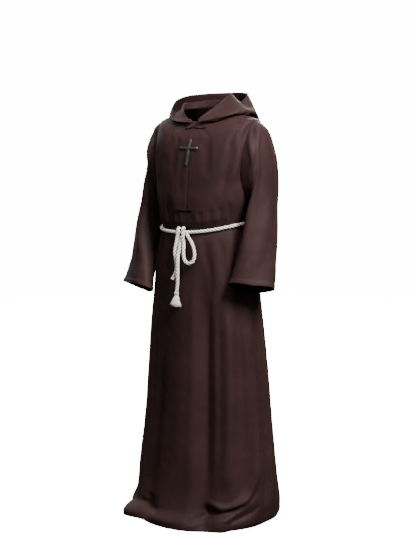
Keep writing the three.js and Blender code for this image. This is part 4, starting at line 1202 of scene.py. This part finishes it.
def cloth_material():
    made, nodes, links, shader, place = material("brown_satin")
    threads = wave(nodes, links, place["UV"], 420, "DIAGONAL")
    cross_threads = wave(nodes, links, place["UV"], 620, "X")
    slub = noise(nodes, links, 60, 3, place["Object"])
    blotch = noise(nodes, links, 5, 2, place["Object"])
    tone = shades(nodes, links, blotch, (0.0132, 0.0054, 0.0052), (0.0182, 0.0076, 0.0073))
    links.new(tone, shader.inputs["Base Color"])
    rough = nodes.new("ShaderNodeMapRange")
    set_inputs(rough, {"To Min": 0.62, "To Max": 0.74})
    links.new(slub, rough.inputs["Value"])
    links.new(rough.outputs["Result"], shader.inputs["Roughness"])
    set_inputs(shader, {
        "Specular IOR Level": 0.09, "Sheen Weight": 0.018, "Sheen Roughness": 0.35,
        "Sheen Tint": (0.8, 0.66, 0.64, 1),
    })
    bumped(nodes, links, shader, [
        (threads, 0.12, 0.0002), (cross_threads, 0.08, 0.0002), (slub, 0.05, 0.0006),
    ])
    return made


def thread_material():
    made, nodes, links, shader, place = material("brown_thread")
    fibre = noise(nodes, links, 900, 2, place["Object"])
    tone = shades(nodes, links, fibre, (0.0145, 0.0072, 0.0066), (0.022, 0.0115, 0.011))
    links.new(tone, shader.inputs["Base Color"])
    set_inputs(shader, {"Roughness": 0.5})
    return made


def rope_material():
    """Clean cotton with painted shade where the ridge attribute says that a groove lies;
    on the tufts the same attribute gives each strand a random darker tone.
    """
    made, nodes, links, shader, place = material("cotton_rope")
    fibres = noise(nodes, links, 900, 4, place["Object"])
    tone = noise(nodes, links, 60, 3, place["Object"])
    clean = shades(nodes, links, tone, (0.88, 0.8, 0.71), (0.96, 0.91, 0.84))
    ridge = nodes.new("ShaderNodeAttribute")
    ridge.attribute_name = "ridge"
    mixed = nodes.new("ShaderNodeMix")
    mixed.data_type = "RGBA"
    links.new(ridge.outputs["Fac"], mixed.inputs[0])
    # Painted shade colour for the rope's grooves, also the darker end of the tufts' random strand tone
    mixed.inputs[6].default_value = (0.07, 0.042, 0.026, 1)
    links.new(clean, mixed.inputs[7])
    links.new(mixed.outputs[2], shader.inputs["Base Color"])
    set_inputs(shader, {
        "Roughness": 0.92, "Sheen Weight": 0.5, "Sheen Roughness": 0.6, "Specular IOR Level": 0.25,
    })
    bumped(nodes, links, shader, [(fibres, 0.5, 0.0006), (tone, 0.2, 0.001)])
    return made


def cross_material():
    made, nodes, links, shader, place = material("grey_satin_stitch")
    fibres = noise(nodes, links, 700, 3, place["Object"])
    blotch = noise(nodes, links, 50, 2, place["Object"])
    tone = shades(nodes, links, blotch, (0.0055, 0.0064, 0.0055), (0.012, 0.0132, 0.0114))
    links.new(tone, shader.inputs["Base Color"])
    set_inputs(shader, {"Roughness": 0.42, "Specular IOR Level": 0.36})
    bumped(nodes, links, shader, [(fibres, 0.35, 0.0005)])
    return made


def cord_material():
    made, nodes, links, shader, place = material("black_cord")
    fibres = noise(nodes, links, 1200, 3, place["Object"])
    tone = shades(nodes, links, fibres, (0.0008, 0.0008, 0.0009), (0.002, 0.0018, 0.002))
    links.new(tone, shader.inputs["Base Color"])
    set_inputs(shader, {"Roughness": 0.7, "Specular IOR Level": 0.12})
    bumped(nodes, links, shader, [(fibres, 0.4, 0.0004)])
    return made


def floor_material():
    made, nodes, links, shader, place = material("pale_floor")
    blotch = noise(nodes, links, 2, 2, place["Object"])
    tone = shades(nodes, links, blotch, (0.86, 0.86, 0.86), (0.88, 0.88, 0.88))
    links.new(tone, shader.inputs["Base Color"])
    set_inputs(shader, {
        "Roughness": 0.9, "Specular IOR Level": 0.1, "Emission Color": (1, 1, 1, 1),
        "Emission Strength": FLOOR_GLOW,
    })
    return made


# Camera, light, floor


def camera():
    data = bpy.data.cameras.new("photo_camera")
    data.lens = LENS
    data.clip_end = 100
    obj = bpy.data.objects.new("photo_camera", data)
    obj.location = (
        CAMERA_AWAY_M * math.sin(AZIMUTH), -CAMERA_AWAY_M * math.cos(AZIMUTH), CAMERA_HEIGHT_M)
    obj.rotation_euler = (math.pi / 2 - PITCH, 0, AZIMUTH)
    bpy.context.scene.collection.objects.link(obj)
    bpy.context.scene.camera = obj


def softbox(name, azimuth, away, height, size, power, aim):
    data = bpy.data.lights.new(name, "AREA")
    data.shape = "RECTANGLE"
    data.size, data.size_y = size
    data.energy = power
    obj = bpy.data.objects.new(name, data)
    turn = math.radians(azimuth)
    obj.location = (away * math.sin(turn), -away * math.cos(turn), height)
    obj.rotation_euler = (Vector(aim) - obj.location).to_track_quat("-Z", "Y").to_euler()
    bpy.context.scene.collection.objects.link(obj)


def lights():
    for name, values in LIGHTS.items():
        softbox(name, *values)
    bpy.context.scene.world = studio()


def studio():
    """Soft white light from above, fading below, in front of a bright white backdrop."""
    world = bpy.data.worlds.new("studio")
    world.use_nodes = True
    nodes, links = world.node_tree.nodes, world.node_tree.links
    around = nodes["Background"]
    set_inputs(around, {"Strength": AROUND_LIGHT})
    place = nodes.new("ShaderNodeTexCoord")
    split = nodes.new("ShaderNodeSeparateXYZ")
    links.new(place.outputs["Generated"], split.inputs["Vector"])
    fading = shades(nodes, links, split.outputs["Z"], (0.1, 0.1, 0.1), (1, 1, 1), 0, 0.5)
    links.new(fading, around.inputs["Color"])
    backdrop = nodes.new("ShaderNodeBackground")
    set_inputs(backdrop, {"Color": (1, 1, 1, 1), "Strength": BACKDROP_LIGHT})
    seen = nodes.new("ShaderNodeLightPath")
    mixed = nodes.new("ShaderNodeMixShader")
    links.new(seen.outputs["Is Camera Ray"], mixed.inputs[0])
    links.new(around.outputs["Background"], mixed.inputs[1])
    links.new(backdrop.outputs["Background"], mixed.inputs[2])
    links.new(mixed.outputs["Shader"], nodes["World Output"].inputs["Surface"])
    return world


def floor(look):
    """A pale floor that runs to the horizon. It shines only at the camera, not on the robe."""
    low = -HOLD_HEIGHT - 4
    far = 60 / M
    corners = [(-far, -far, low), (far, -far, low), (far, far, low), (-far, far, low)]
    obj = new_object("floor", corners, [(0, 1, 2, 3)])
    obj.data.materials.append(look)
    obj.visible_diffuse = False
    obj.visible_glossy = False


# Putting it together


def finish_piece(obj, look, slot, *nodes):
    obj.data.materials.append(look)
    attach(obj, "root")
    if nodes:
        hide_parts(*nodes)
    return obj


def free_ends(look):
    """The two free ends of the rope, with their tassel and frayed tip."""
    short, long = even(laid(TAIL_SHORT), ROPE_STEP), even(laid(TAIL_LONG), ROPE_STEP)
    tail_short = rope("rope_tail_short", short, ROPE, ROPE_SIDES, ROPE_PITCH, 0.4)
    tail_long = rope("rope_tail_long", long, ROPE, ROPE_SIDES, ROPE_PITCH, 1.1)
    fray = strands("rope_fray", TAIL_SHORT, FRAY, 4)
    tassel = strands("rope_tassel", TAIL_LONG, TASSEL, 9)
    bound = binding("tassel_binding", TAIL_LONG, **TASSEL_BINDING)
    tied = binding("fray_binding", TAIL_SHORT, **FRAY_BINDING)
    finish_piece(tail_short, look, "rope", "tail_short")
    finish_piece(tail_long, look, "rope", "tail_long")
    finish_piece(fray, look, "rope", "fray_short")
    finish_piece(tassel, look, "rope", "tassel")
    finish_piece(bound, look, "rope")
    finish_piece(tied, look, "rope")


def tied_rope(look):
    """The belt round the waist, the two turns of its knot and the bow's loop."""
    finish_piece(rope("rope_belt", belt_line(), ROPE, ROPE_SIDES, ROPE_PITCH), look, "rope", "belt")
    routes = (
        ("rope_wrap_right", WRAP_RIGHT, "knot_wrap_right"),
        ("rope_wrap_left", WRAP_LEFT, "knot_wrap_left"),
        ("rope_bow_loop", BOW_LOOP, "bow_loop"),
    )
    for name, route, node in routes:
        obj = rope(name, even(laid(route), ROPE_STEP), ROPE, ROPE_SIDES, ROPE_PITCH, 0.7)
        finish_piece(obj, look, "rope", node)


def black_trim(look):
    """The closing at the top of the slit and the bar at its foot."""
    finish_piece(frog("frog_right_cord", FROG_RIGHT), look, "black_cord", "frog_right")
    finish_piece(frog("frog_left_cord", FROG_LEFT), look, "black_cord", "frog_left")
    finish_piece(frog_knot(), look, "black_cord", "frog_knot")
    finish_piece(bar(), look, "black_cord", "bar_lower")


def main():
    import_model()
    camera()
    look = rope_material()
    free_ends(look)
    tied_rope(look)
    cloth, thread = cloth_material(), thread_material()
    front = finish_piece(front_panel(), cloth, "cloth", "front")
    back = finish_piece(back_panel(), cloth, "cloth", "back")
    sleeves = {side: sleeve(side) for side in (1, -1)}
    finish_piece(sleeves[1], cloth, "cloth", "sleeve_left")
    finish_piece(sleeves[-1], cloth, "cloth", "sleeve_right")
    hoods = {side: hood_half(side) for side in (1, -1)}
    finish_piece(hoods[1], cloth, "cloth", "hood_left")
    finish_piece(hoods[-1], cloth, "cloth", "hood_right")
    hem = finish_piece(hem_stitching(), thread, "cloth")
    slit = finish_piece(slit_stitching(), thread, "cloth")
    finish_piece(cross(), cross_material(), "cross_trim", "cross")
    black_trim(cord_material())
    lights()
    floor(floor_material())


main()
